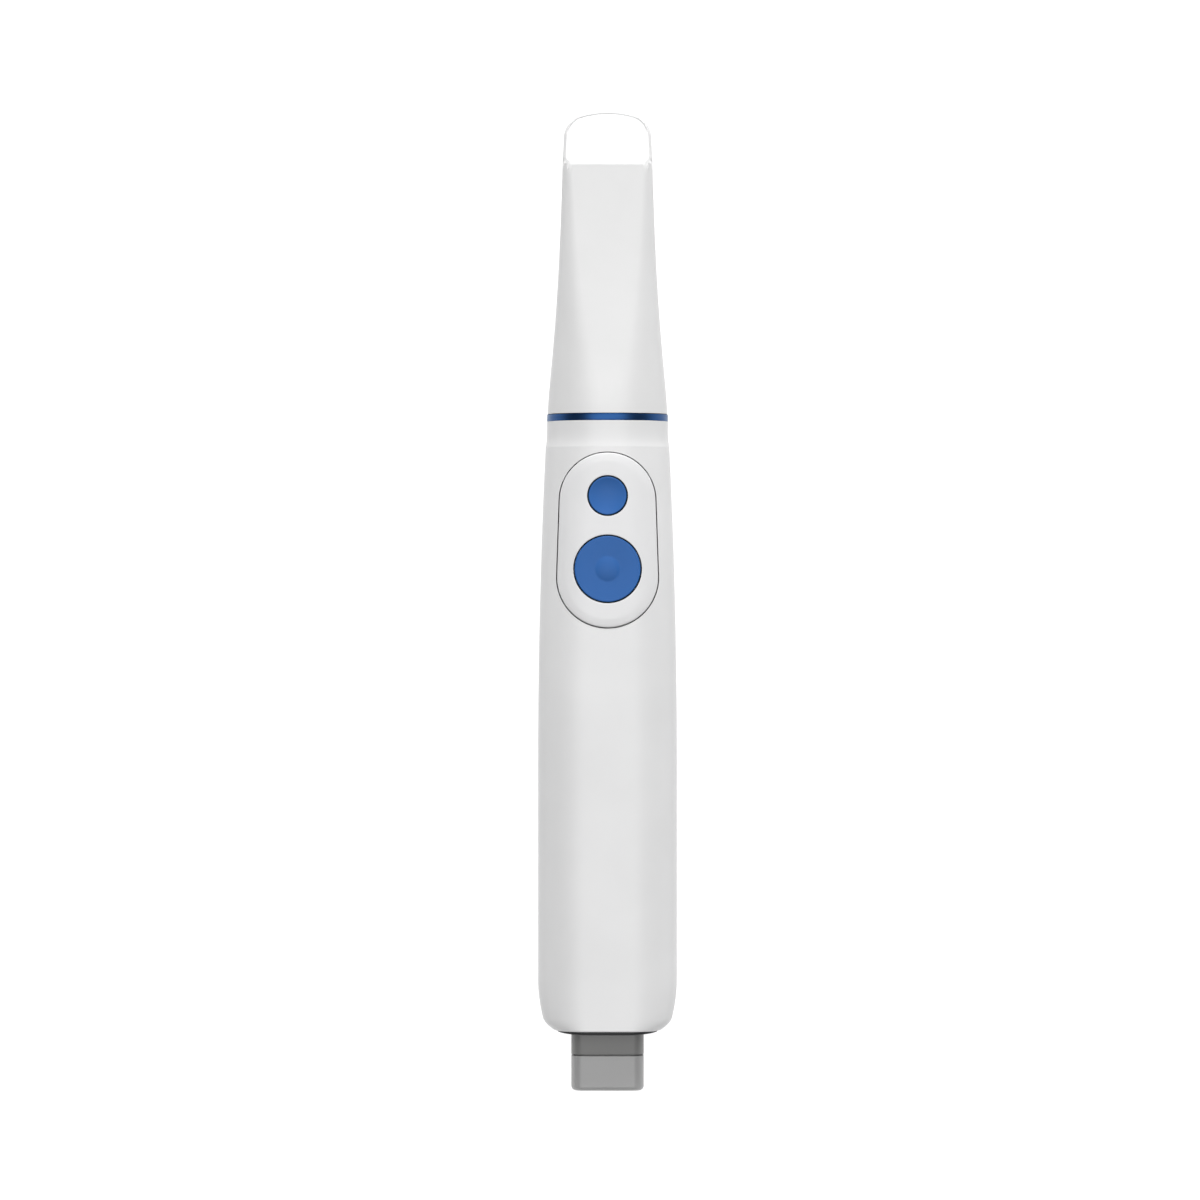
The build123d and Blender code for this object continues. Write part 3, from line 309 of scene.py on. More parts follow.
def add_ring(bm: BMesh, y: float, outline: Outline, axis: float, arc: int = 16) -> Ring:
    """Add a rounded ring across the wand: a circle pulled apart into four quarters.

    Args:
        bm: The mesh to add to.
        y: Station along the wand, in millimetres.
        outline: The ring's outline.
        axis: Height of the outline's axis, in millimetres.
        arc: Steps in each rounded corner.

    Returns:
        The ring's edges.
    """
    steps = 4 * arc
    place = Matrix.Translation((0, y * MM, axis * MM))
    place = place @ Matrix.Rotation(math.pi / 2, 4, "X") @ Matrix.Rotation(math.pi / steps, 4, "Z")
    verts = bmesh.ops.create_circle(
        bm, cap_ends=False, segments=steps, radius=outline.corner * MM, matrix=place
    )["verts"]
    pulls = (
        (lambda v: v.co.x > 0, (outline.half - outline.corner, 0, 0)),
        (lambda v: v.co.x < 0, (outline.corner - outline.half, 0, 0)),
        (lambda v: v.co.z > axis * MM, (0, 0, outline.rise - outline.corner)),
        (lambda v: v.co.z < axis * MM, (0, 0, outline.corner - outline.drop)),
    )
    groups = [[v for v in verts if test(v)] for test, _ in pulls]
    for group, (_, pull) in zip(groups, pulls):
        bmesh.ops.translate(bm, verts=group, vec=Vector(pull) * MM)
    return link_loop(verts)


def bridge(bm: BMesh, rings: Sequence[Ring], closed: bool = False) -> None:
    """Skin a run of rings, and join the last one to the first if it is closed."""
    pairs = list(zip(rings, rings[1:]))
    if closed:
        pairs.append((rings[-1], rings[0]))
    for first, second in pairs:
        bmesh.ops.bridge_loops(bm, edges=first + second)


def cap(bm: BMesh, rings: Sequence[Ring]) -> None:
    """Close the first and the last ring of a skinned run."""
    for ring in (rings[0], rings[-1]):
        bmesh.ops.edgeloop_fill(bm, edges=ring)


def cut_off(bm: BMesh, place: Sequence[float], normal: Sequence[float]) -> list[BMVert | BMEdge]:
    """Cut away all that lies past a plane.

    Args:
        bm: The mesh to cut.
        place: A point on the plane, in metres.
        normal: The way to the side that goes.

    Returns:
        The points and edges along the cut.
    """
    return bmesh.ops.bisect_plane(
        bm,
        geom=bm.verts[:] + bm.edges[:] + bm.faces[:],
        plane_co=place,
        plane_no=normal,
        clear_outer=True,
    )["geom_cut"]


def soft_edge(outline: Outline, end: float, reach: float) -> list[Station]:
    """Rings of a softened edge, from its end to the full outline.

    Args:
        outline: The full outline.
        end: Station of the end.
        reach: How far the edge goes along Y from there, with its sign.

    Returns:
        Station and outline of each ring.
    """
    return [
        (end, outline.inset(abs(reach))),
        (end + MID_EDGE * reach, outline.inset(MID_EDGE * abs(reach))),
        (end + reach, outline),
    ]


def make_piece(bm: BMesh, name: str, finish: Finish, sharp: float = SHARP) -> bpy.types.Object:
    """Turn a mesh being modelled into a finished object.

    Args:
        bm: The mesh, which is freed.
        name: The object's name.
        finish: Its surface.
        sharp: Angle in degrees past which an edge is drawn sharp.

    Returns:
        The object, linked to the scene.
    """
    bmesh.ops.remove_doubles(bm, verts=bm.verts, dist=WELD)
    bmesh.ops.recalc_face_normals(bm, faces=bm.faces)
    mesh = bpy.data.meshes.new(name)
    bm.to_mesh(mesh)
    bm.free()
    piece = bpy.data.objects.new(name, mesh)
    bpy.context.scene.collection.objects.link(piece)
    mesh.materials.append(finish.material())
    shade(mesh, sharp)
    return piece


def shade(mesh: bpy.types.Mesh, sharp: float) -> None:
    """Shade a mesh smoothly, with edges past an angle in degrees drawn sharp."""
    mesh.polygons.foreach_set("use_smooth", [True] * len(mesh.polygons))
    mesh.set_sharp_from_angle(angle=math.radians(sharp))
    mesh.update()


def carve(piece: bpy.types.Object, cutter: BMesh, sharp: float = SHARP) -> None:
    """Take a closed mesh away from a piece, and keep the result in the piece's own mesh.

    Args:
        piece: The object to cut.
        cutter: The closed mesh to cut with, which is freed.
        sharp: Angle in degrees past which an edge is drawn sharp.
    """
    tool = make_piece(cutter, piece.name + "_cutter", WHITE_GRIP)
    tool.data.materials.clear()
    step = piece.modifiers.new("carve", "BOOLEAN")
    step.operation, step.solver, step.object = "DIFFERENCE", "EXACT", tool
    graph = bpy.context.evaluated_depsgraph_get()
    carved = bpy.data.meshes.new_from_object(piece.evaluated_get(graph))
    piece.modifiers.remove(step)
    spare, piece.data = piece.data, carved
    tool_mesh = tool.data
    bpy.data.objects.remove(tool)
    bpy.data.meshes.remove(tool_mesh)
    carved.name = piece.name
    bpy.data.meshes.remove(spare)
    shade(carved, sharp)


def place_piece(piece: bpy.types.Object, body: Body, slot: str, *nodes: str) -> None:
    """Let a piece ride on a body and stand for CAD nodes.

    Args:
        piece: The finished object.
        body: The body that it rides on.
        slot: Not used.
        nodes: The CAD nodes that it stands for.
    """
    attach(piece, body.value)
    if nodes:
        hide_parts(*nodes)
    log.info("%s rides on %s, %d faces", piece.name, body.value, len(piece.data.polygons))


def ring_solid(stations: Sequence[Station], axis: float, arc: int = 16) -> BMesh:
    """Model a closed ring-shaped solid from outlines that run out along it and back inside.

    Args:
        stations: Station and outline of each ring, in order around the wall.
        axis: Height of the outlines' axis, in millimetres.
        arc: Steps in each rounded corner.

    Returns:
        The solid.
    """
    bm = bmesh.new()
    bridge(bm, [add_ring(bm, y, outline, axis, arc) for y, outline in stations], closed=True)
    return bm


def spun_solid(profile: Sequence[Point], y: float, steps: int = 96) -> BMesh:
    """Turn a half profile about an upright axis.

    Args:
        profile: Distance from the axis and height of each point, in millimetres.
        y: Station of the axis along the wand, in millimetres.
        steps: Steps around the turn.

    Returns:
        The turned solid.
    """
    bm = bmesh.new()
    verts = [bm.verts.new((r * MM, y * MM, z * MM)) for r, z in profile]
    edges = [bm.edges.new(pair) for pair in zip(verts, verts[1:])]
    bmesh.ops.spin(
        bm,
        geom=verts + edges,
        cent=(0, y * MM, 0),
        axis=(0, 0, 1),
        angle=math.tau,
        steps=steps,
        use_merge=True,
    )
    bmesh.ops.remove_doubles(bm, verts=bm.verts, dist=NEAR)
    return bm


@dataclass
class Grip:
    """The two-part housing that the hand holds."""

    length: float = 144.955
    shoulder_half: float = 15.45
    shoulder_corner: float = 14.2
    half: float = 17.3
    rise: float = 17.3
    corner: float = 12.5
    swell: float = 78.0
    back_swell: float = 26.0
    rest_cut: float = 0.2
    wall: float = 2.2
    taper: float = 2.1
    taper_length: float = 12.5
    turn: float = 2.1
    tail_round: float = 0.25
    tail_wall: float = 3.0
    pocket: float = 0.54
    pocket_outline: Outline = Outline(12.6, 12.6, 12.2, 7.8)
    hole: Outline = Outline(9.15, 6.6, 6.2, 3.1)
    draft: float = 0.02
    parting_round: float = 0.12
    parting_reach: float = 0.02
    ring_steps: tuple[int, ...] = (30, 14, 8, 10)
    round_steps: int = 5
    inner_steps: int = 6
    arc: int = 20

    def outline(self, setback: float) -> Outline:
        """Cross-section at a distance behind the shoulder."""
        swell = ease_out(setback, self.swell)
        back = ease_out(setback, self.back_swell)
        along = max(0.0, setback - self.length + self.taper_length) / self.taper_length
        at_wall = max(0.0, setback - self.length + self.tail_wall) / self.tail_wall
        taper = self.taper * along**2 + self.turn * at_wall**2
        base = self.shoulder_half
        return Outline(
            base + (self.half - base) * swell - taper,
            base + (self.rise - base) * swell,
            base + (LAYOUT.axis + self.rest_cut - base) * back,
            self.shoulder_corner + (self.corner - self.shoulder_corner) * swell - taper,
        )

    def height(self, x: float, y: float) -> float:
        """Height of the front face above the rest, at a place across and along the wand."""
        outline = self.outline(LAYOUT.shoulder - y)
        across = max(0.0, abs(x) - (outline.half - outline.corner))
        fall = outline.corner - math.sqrt(max(0.0, outline.corner**2 - across**2))
        return LAYOUT.axis + outline.rise - fall

    def stations(self) -> list[Station]:
        """Rings along the outside, round the tail, and back along the inside."""
        shoulder = LAYOUT.shoulder
        straight = self.length - self.taper_length
        wall_start, round_start = self.length - self.tail_wall, self.length - self.tail_round
        setbacks = [0.0]
        for end, steps in zip((self.swell, straight, wall_start, round_start), self.ring_steps):
            start = setbacks[-1]
            setbacks += [start + (end - start) * step / steps for step in range(1, steps + 1)]
        outer = [(shoulder - s, self.outline(s)) for s in setbacks]
        for along, depth in quarter(self.round_steps, 1):
            s = round_start + self.tail_round * along
            outer.append((shoulder - s, self.outline(s).inset(self.tail_round * depth)))
        tail = LAYOUT.tail
        tail_end = [
            (tail + self.draft, self.pocket_outline),
            (tail + self.pocket, self.pocket_outline),
            (tail + self.pocket + self.draft, self.hole),
            (tail + self.tail_wall, self.hole),
            (tail + self.tail_wall + self.draft, self.outline(wall_start).inset(self.wall)),
        ]
        swell = [self.swell * step / self.inner_steps for step in range(1, self.inner_steps + 1)]
        inside = [self.draft, *swell, straight]
        inner = [(shoulder - s, self.outline(s).inset(self.wall)) for s in reversed(inside)]
        return outer + tail_end + inner

    def half_shell(self, upper: bool) -> BMesh:
        """One half of the housing, parted at the axis; the upper one takes the buttons."""
        bm = ring_solid(self.stations(), LAYOUT.axis, self.arc)
        if not upper:
            cut = cut_off(bm, (0, 0, 0), (0, 0, -1))
            bmesh.ops.edgenet_fill(bm, edges=[part for part in cut if isinstance(part, BMEdge)])
        cut = cut_off(bm, (0, 0, LAYOUT.axis * MM), (0, 0, -1 if upper else 1))
        bmesh.ops.holes_fill(bm, edges=[part for part in cut if isinstance(part, BMEdge)])
        outside = [
            edge
            for edge in bm.edges
            if all(abs(v.co.z - LAYOUT.axis * MM) < NEAR for v in edge.verts)
            and all(abs(v.co.x) > self._parting(v.co.y) for v in edge.verts)
        ]
        bmesh.ops.bevel(
            bm,
            geom=outside,
            offset=self.parting_round * MM,
            offset_type="OFFSET",
            segments=2,
            profile=0.5,
            affect="EDGES",
            material=-1,
        )
        return bm

    def _parting(self, y: float) -> float:
        """Distance from the middle past which the outer edge lies, in metres."""
        return (self.outline(LAYOUT.shoulder - y / MM).half - self.parting_reach) * MM

    def build(self, panel: "ButtonPanel") -> None:
        """Model both half shells, and cut the panel's opening in the front one."""
        front = make_piece(self.half_shell(True), "grip_front", WHITE_GRIP)
        carve(front, panel.opening())
        place_piece(front, Body.HANDLE, "white_shell", "front_shell")
        rear = make_piece(self.half_shell(False), "grip_rear", WHITE_GRIP)
        place_piece(rear, Body.HANDLE, "white_shell", "rear_shell")


@dataclass
class ButtonPanel:
    """The raised oblong panel round the buttons."""

    grip: Grip
    setback: float = 1.56
    length: float = 43.34
    top_radius: float = 11.9
    bottom_radius: float = 12.55
    gap: float = 0.25
    button_gap: float = 0.22
    proud: float = 0.5
    rim: float = 2.4
    opening_span: Span = (5.0, 25.0)
    edge_profile: tuple[Point, ...] = (
        (0.0, -1.8),
        (0.0, -0.05),
        (0.03, 0.07),
        (0.1, 0.17),
        (0.22, 0.24),
        (0.3, 0.265),
        (1.0, 0.365),
        (1.7, 0.455),
        (2.0, 0.485),
    )
    lip_profile: tuple[Point, ...] = (
        (0.2, 0.0),
        (0.08, 0.012),
        (0.02, 0.045),
        (0.0, 0.1),
        (0.0, 2.3),
    )
    # painted shade: sizes of the dark sleeve that paints the shadow in each button's gap, in
    # millimetres
    gap_shade_sink: float = 0.06
    gap_shade_depth: float = 1.5
    gap_shade_reach: float = 0.05
    small_y: float = 25.725
    small_radius: float = 4.84
    large_y: float = 7.585
    large_radius: float = 8.29
    arc_steps: int = 48
    face_step: float = 1.2
    side_cuts: int = 15
    divide_cuts: int = 17
    spoke_cuts: int = 7
    sharp: float = 40.0

    @property
    def top(self) -> float:
        """Station of the upper arc's centre."""
        return LAYOUT.shoulder - self.setback - self.top_radius

    @property
    def bottom(self) -> float:
        """Station of the lower arc's centre."""
        return LAYOUT.shoulder - self.setback - self.length + self.bottom_radius

    def add_oblong(self, bm: BMesh, growth: float) -> list[BMVert]:
        """Add the panel's grown outline: a circle whose halves are resized and drawn apart."""
        steps = 2 * self.arc_steps
        turn = Matrix.Rotation(math.pi / steps, 4, "Z")
        verts = bmesh.ops.create_circle(
            bm, cap_ends=False, segments=steps, radius=MM, matrix=turn
        )["verts"]
        for half, radius, centre in (
            ([v for v in verts if v.co.y > 0], self.top_radius, self.top),
            ([v for v in verts if v.co.y < 0], self.bottom_radius, self.bottom),
        ):
            bmesh.ops.scale(bm, verts=half, vec=Vector.Fill(3, radius + growth))
            bmesh.ops.translate(bm, verts=half, vec=(0, centre * MM, 0))
        return verts

    def opening(self) -> BMesh:
        """A tall closed block that cuts the panel's opening in the front shell."""
        bm = bmesh.new()
        rings = []
        for height in self.opening_span:
            verts = self.add_oblong(bm, self.gap)
            bmesh.ops.translate(bm, verts=verts, vec=(0, 0, (LAYOUT.axis + height) * MM))
            rings.append(link_loop(verts))
        bridge(bm, rings)
        cap(bm, rings)
        return bm

    def face_height(self, y: float) -> float:
        """Height of the panel's face on the middle line."""
        return self.grip.height(0.0, y) + self.proud

    def skin(self) -> BMesh:
        """The panel's rim, flat, with each point's lift off the grip in its lift layer."""
        bm = bmesh.new()
        lift = bm.verts.layers.float.new("lift")
        rings = []
        for inset, height in (*self.edge_profile, (self.rim, self.proud)):
            verts = self.add_oblong(bm, -inset)
            for vert in verts:
                vert[lift] = height
            rings.append(link_loop(verts))
        bridge(bm, rings)
        long = [edge for edge in bm.edges if edge.calc_length() > self.face_step * MM * 2]
        bmesh.ops.subdivide_edges(bm, edges=long, cuts=self.side_cuts)
        return bm

    def face_rim(self, bm: BMesh) -> Ring:
        """Open edges at the level of the face."""
        lift = bm.verts.layers.float["lift"]
        return [
            edge
            for edge in bm.edges
            if len(edge.link_faces) < 2
            and all(abs(v[lift] - self.proud) < NEAR for v in edge.verts)
        ]

    def divide(self, bm: BMesh) -> float:
        """Draw a line across the face between the buttons, and give its place in metres."""
        middle = (self.small_y - self.small_radius + self.large_y + self.large_radius) / 2 * MM
        rim = unique(vert for edge in self.face_rim(bm) for vert in edge.verts)
        left = min((v for v in rim if v.co.x < 0), key=lambda v: abs(v.co.y - middle))
        right = min((v for v in rim if v.co.x > 0), key=lambda v: abs(v.co.y - middle))
        station = left.co.y
        bmesh.ops.subdivide_edges(bm, edges=[bm.edges.new((left, right))], cuts=self.divide_cuts)
        return station

    def add_hole(self, bm: BMesh, loop: Ring, y: float, radius: float) -> None:
        """Fill from a loop of the face inwards to a button's hole, and turn its lip down."""
        lift = bm.verts.layers.float["lift"]
        spokes = []
        for out, drop in self.lip_profile:
            grown = bmesh.ops.extrude_edge_only(bm, edges=loop)["geom"]
            verts = [part for part in grown if isinstance(part, BMVert)]
            for vert in verts:
                ray = Vector((vert.co.x, vert.co.y - y * MM)).normalized() * (radius + out) * MM
                vert.co.xy = ray.x, ray.y + y * MM
                vert[lift] = self.proud - drop
            edges, new = link_loop(verts), set(verts)
            loop = [edge for edge in edges if new.issuperset(edge.verts)]
            if not spokes:
                spokes = [edge for edge in edges if len(new.intersection(edge.verts)) == 1]
        bmesh.ops.subdivide_edges(bm, edges=spokes, cuts=self.spoke_cuts, use_grid_fill=True)

    def build(self) -> None:
        """Model the panel inwards from its rim, with a hole for each button, on the grip."""
        bm = self.skin()
        line = self.divide(bm)
        for side, y, radius in (
            (1, self.small_y, self.small_radius),
            (-1, self.large_y, self.large_radius),
        ):
            loop = [
                edge
                for edge in self.face_rim(bm)
                if all((vert.co.y - line) * side > -NEAR for vert in edge.verts)
            ]
            self.add_hole(bm, loop, y, radius + self.button_gap)
        lift = bm.verts.layers.float["lift"]
        for vert in bm.verts:
            vert.co.z = (self.grip.height(vert.co.x / MM, vert.co.y / MM) + vert[lift]) * MM
        piece = make_piece(bm, "button_panel_face", WHITE_PANEL, self.sharp)
        place_piece(piece, Body.HANDLE, "white_panel", "button_panel")
        # painted shade: a dark sleeve in each button's gap stands in for the shadow there
        self.paint_gap_shade("small_button_gap_shade", self.small_y, self.small_radius)
        self.paint_gap_shade("large_button_gap_shade", self.large_y, self.large_radius)

    def paint_gap_shade(self, name: str, y: float, radius: float) -> None:
        """Paint the shadow in a button's gap with a dark sleeve, sunk just below the panel's face.
        """
        inner, outer = radius, radius + self.button_gap + self.gap_shade_reach
        top, low = self.proud - self.gap_shade_sink, self.proud - self.gap_shade_depth
        profile = ((inner, top), (outer, top), (outer, low), (inner, low), (inner, top))
        bm = spun_solid(profile, y)
        for vert in bm.verts:
            vert.co.z += self.grip.height(vert.co.x / MM, vert.co.y / MM) * MM
        # painted shade, not a rubber seal: the sleeve only darkens the gap
        place_piece(make_piece(bm, name, PAINTED_GAP_SHADE), Body.HANDLE, "seal_rubber")


@dataclass
class PushButton:
    """A round push button with a dished top, and a dome in its middle if it has one."""

    name: str
    body: Body
    y: float
    radius: float
    dish: float
    dome_radius: float = 0.0
    dome_height: float = 0.0
    sink: float = 0.2
    edge: float = 0.14
    clear: float = 0.14
    skirt: float = 3.0
    follow: float = 0.6
    foot: float = 1.4
    dome_steps: int = 11
    dish_steps: int = 14
    edge_steps: int = 5
    sharp: float = 40.0

    def profile(self, rim: float) -> list[Point]:
        """Half profile from the top's middle to the underside's, with the rim at a height."""
        radius = self.radius - self.clear
        flat = radius - self.edge
        points = []
        if self.dome_radius:
            ring = rim - self._cap(self.dome_radius, flat, self.dish)
            for step in range(self.dome_steps):
                r = self.dome_radius * step / self.dome_steps
                points.append((r, ring + self._cap(r, self.dome_radius, self.dome_height)))
        start = self.dome_radius
        for step in range(self.dish_steps + 1):
            r = start + (flat - start) * step / self.dish_steps
            points.append((r, rim - self._cap(r, flat, self.dish)))
        for along, drop in quarter(self.edge_steps, 1):
            points.append((flat + self.edge * along, rim - self.edge * drop))
        low = rim - self.skirt
        return points + [(radius, low), (radius - self.foot, low), (0.0, low)]

    @staticmethod
    def _cap(r: float, radius: float, height: float) -> float:
        """Rise of a spherical cap above its rim, at r off its axis."""
        sphere = (radius**2 + height**2) / (2 * height)
        return math.sqrt(sphere**2 - r**2) - (sphere - height)

    def build(self, panel: ButtonPanel) -> None:
        """Model the button in its hole in the panel, bent a little along the panel's crown."""
        rim = panel.face_height(self.y) - self.sink
        bm = spun_solid(self.profile(rim), self.y)
        crown = panel.grip.height(0.0, self.y)
        for vert in bm.verts:
            if vert.co.z > (rim - self.skirt / 2) * MM:
                fall = crown - panel.grip.height(vert.co.x / MM, self.y)
                vert.co.z -= self.follow * fall * MM
        piece = make_piece(bm, self.name + "_cap", BLUE_BUTTON, self.sharp)
        place_piece(piece, self.body, "button_blue", self.name)


@dataclass
class Neck:
    """The metal ring at the tip's base and the collar behind it."""

    ring_thickness: float = 1.1
    seat_gap: float = 0.1
    lip: float = 0.08
    bore: float = 3.05
    spigot: float = 2.3
    spigot_length: float = 4.0
    edge: float = 0.15
    arc: int = 24
    collar_sharp: float = 18.0
    flare: tuple[Point, ...] = (
        (0.0, 0.0),
        (0.3, 0.0),
        (0.4, 0.012),
        (0.5, 0.05),
        (0.6, 0.12),
        (0.7, 0.23),
        (0.8, 0.4),
        (0.9, 0.65),
        (1.0, 1.0),
    )

    def build(self, grip: Grip) -> None:
        """Model the ring and the collar."""
        neck, back, front = LAYOUT.neck, LAYOUT.ring_back, LAYOUT.ring_front
        inner = neck.inset(self.ring_thickness)
        stations = soft_edge(neck, back, self.edge)
        stations += reversed(soft_edge(neck, front, -self.edge))
        stations += [(front, inner), (back, inner)]
        ring = ring_solid(stations, LAYOUT.axis, self.arc)
        piece = make_piece(ring, "accent_ring_band", BLUE_RING)
        place_piece(piece, Body.HANDLE, "accent_blue", "accent_ring")
        self._collar(grip)

    def _collar(self, grip: Grip) -> None:
        """Model the collar with its flare towards the grip."""
        neck, back, front = LAYOUT.neck, LAYOUT.ring_back, LAYOUT.ring_front
        wide, length = grip.outline(0.0), back - LAYOUT.shoulder
        seat = neck.inset(self.ring_thickness + self.seat_gap)
        stations = [(front, seat), (back, seat), (back, neck.inset(self.lip))]
        for share, rise in self.flare:
            stations.append((back - max(self.lip, length * share), neck.towards(wide, rise)))
        end, bore = LAYOUT.shoulder - self.spigot_length, LAYOUT.tip.inset(self.bore)
        stations += [
            (LAYOUT.shoulder, wide.inset(self.spigot)),
            (end, wide.inset(self.spigot)),
            (end, bore),
            (front, bore),
        ]
        collar = ring_solid(stations, LAYOUT.axis, self.arc)
        piece = make_piece(collar, "neck_collar", WHITE_GRIP, self.collar_sharp)
        place_piece(piece, Body.HANDLE, "white_shell", "nose_collar")


@dataclass
class ScanTip:
    """The pull-off sleeve with a sloped mirror back and a window underneath."""

    length: float = 76.07
    head: Outline = Outline(10.85, 11.2, 6.5, 1.6)
    taper_power: float = 1.4
    taper_bend: float = 0.35
    wall: float = 1.8
    overshoot: float = 0.5
    end_arc: float = 22.4
    end_corner: float = 3.4
    foot_round: float = 0.7
    arch_reach: float = 12.0
    arch_full: float = 3.0
    chamfer_run: float = 14.33
    rim_weld: float = 0.08
    edge: float = 0.75
    corner_drop: float = 0.7
    corner_turn: Span = (0.1, 0.5)
    side_drop: float = 3.6
    side_turn: Span = (0.8, 0.18)
    side_start: float = 0.8
    side_reach: float = 3.4
    line: float = 0.22
    line_depth: float = 0.5
    window_half: float = 7.8
    window_length: float = 14.0
    window_lip: float = 3.6
    window_corner: float = 2.0
    steps: int = 48
    end_steps: int = 12
    flat_cuts: int = 9
    end_slices: int = 7
    arc: int = 14
    window_arc: int = 8
    sharp: float = 34.0

    def outline(self, y: float) -> Outline:
        """Cross-section at a station along the wand."""
        along = max(0.0, (y - LAYOUT.tip_base) / self.length) ** self.taper_power
        fall = (1 + self.taper_bend) * along / (along + self.taper_bend)
        return LAYOUT.tip.towards(self.head, fall)

    def form(self, inset: float) -> BMesh:
        """The tip's closed form, drawn in by inset: a tapered sleeve, arched and sloped."""
        bm = bmesh.new()
        end, corner = LAYOUT.tip_end - inset, self.end_corner - inset
        start = LAYOUT.tip_base - (self.overshoot if inset else 0.0)
        foot = 0.0 if inset else self.foot_round
        run = end - corner - start
        stations = [(start + run * step / self.steps, 0.0, 0.0) for step in range(self.steps + 1)]
        for along, narrow in quarter(self.end_steps, 1):
            y = end - corner + corner * along
            late = ramp(y, end - foot, foot) if foot else 0.0
            stations.append((y, corner * narrow, foot * (1 - math.sqrt(1 - late**2))))
        rings = []
        for y, narrow, lift in stations:
            whole = self.outline(y).inset(inset)
            outline = Outline(whole.half - narrow, whole.rise, whole.drop - lift, whole.corner)
            rings.append(add_ring(bm, y, outline, LAYOUT.axis, self.arc))
        bridge(bm, rings)
        cap(bm, rings)
        flats = [e for e in bm.edges if e.verts[0].co.x * e.verts[1].co.x < 0]
        bmesh.ops.subdivide_edges(bm, edges=flats, cuts=self.flat_cuts)
        self._slice_end(bm, end)
        self._arch(bm, inset, end)
        self._slope(bm, inset)
        return bm

    def _slice_end(self, bm: BMesh, end: float) -> None:
        """Slice the flat end upright, so that it can take the arch."""
        for step in range(-self.end_slices, self.end_slices + 1):
            faces = [f for f in bm.faces if all(v.co.y > end * MM - NEAR for v in f.verts)]
            geom = unique(part for f in faces for part in (*f.verts, *f.edges, f))
            bmesh.ops.bisect_plane(
                bm, geom=geom, plane_co=(step * MM, 0, 0), plane_no=(1, 0, 0)
            )

    def _arch(self, bm: BMesh, inset: float, end: float) -> None:
        """Bend the end back from the middle to the sides, along an arc in plan."""
        radius = (self.end_arc - inset) * MM
        for vert in bm.verts:
            share = ramp(vert.co.y / MM, end - self.arch_reach, self.arch_reach - self.arch_full)
            weight = share * share * (3 - 2 * share)
            vert.co.y -= weight * (radius - math.sqrt(radius**2 - vert.co.x**2))

    def _slope(self, bm: BMesh, inset: float) -> None:
        """Cut the mirror's sloped back, and break its edge on the outside."""
        start = LAYOUT.tip_end - self.chamfer_run
        back = Vector((0, start, LAYOUT.axis + self.outline(start).rise))
        normal = Vector((0, 1, 1)).normalized()
        cut = cut_off(bm, (back - normal * inset) * MM, normal)
        rim = [part for part in cut if isinstance(part, BMVert)]
        bmesh.ops.remove_doubles(bm, verts=rim, dist=self.rim_weld * MM)
        rim = [edge for edge in bm.edges if edge.is_boundary]
        facet = bmesh.ops.edgeloop_fill(bm, edges=rim)["faces"][0]
        if not inset:
            self._break_edge(bm, facet, normal)

    def _break_edge(self, bm: BMesh, facet: BMFace, normal: Vector) -> None:
        """Break the sloped back's edge towards the sides, with a fine line along its end."""
        bmesh.ops.recalc_face_normals(bm, faces=bm.faces)
        moves = {}
        top = max(vert.co.z for vert in facet.verts) / MM - self.side_start
        for vert in facet.verts:
            walls = [face.normal for face in vert.link_faces if face is not facet]
            turn = abs(sum(walls, Vector()).normalized().x)
            side = ramp(turn, *self.side_turn) * ramp(top - vert.co.z / MM, 0.0, self.side_reach)
            drop = normal * self.corner_drop * ramp(turn, *self.corner_turn)
            drop.z += self.side_drop * side
            moves[self._place(vert)] = drop * -MM
        for width in (self.edge, self.line):
            bmesh.ops.inset_region(
                bm, faces=[facet], thickness=width * MM, use_boundary=True, use_even_offset=True
            )
        start, reach = LAYOUT.tip_end - self.chamfer_run / 2, self.chamfer_run / 4
        for vert in facet.verts:
            share = ramp(vert.co.y / MM, start, reach)
            moves[self._place(vert)] = normal * -self.line_depth * share * MM
        bmesh.ops.inset_region(
            bm, faces=[facet], thickness=self.line * MM, use_boundary=True, use_even_offset=True
        )
        for vert in bm.verts:
            vert.co += moves.get(self._place(vert), Vector())

    @staticmethod
    def _place(vert: BMVert) -> tuple[float, ...]:
        """A point's place, rounded so that it can be looked up."""
        return tuple(round(value, 8) for value in vert.co)

    def window(self) -> BMesh:
        """A rounded closed block that cuts the scan window in the underside."""
        bm = bmesh.new()
        half = self.window_length / 2
        middle = LAYOUT.tip_end - self.window_lip - half
        rings = []
        for height in (0.0, LAYOUT.axis - self.head.drop / 2):
            outline = Outline(self.window_half, half, half, self.window_corner)
            ring = add_ring(bm, 0.0, outline, 0.0, arc=self.window_arc)
            verts = unique(vert for edge in ring for vert in edge.verts)
            turn = Matrix.Translation((0, middle * MM, height * MM))
            bmesh.ops.transform(
                bm, matrix=turn @ Matrix.Rotation(math.pi / 2, 4, "X"), verts=verts
            )
            rings.append(ring)
        bridge(bm, rings)
        cap(bm, rings)
        return bm

    def build(self) -> None:
        """Model the sleeve, hollow it and cut its window."""
        piece = make_piece(self.form(0.0), "scan_tip", WHITE_TIP, self.sharp)
        for cutter in (self.form(self.wall), self.window()):
            carve(piece, cutter, self.sharp)
        place_piece(piece, Body.TIP, "white_tip", "tip_shell")


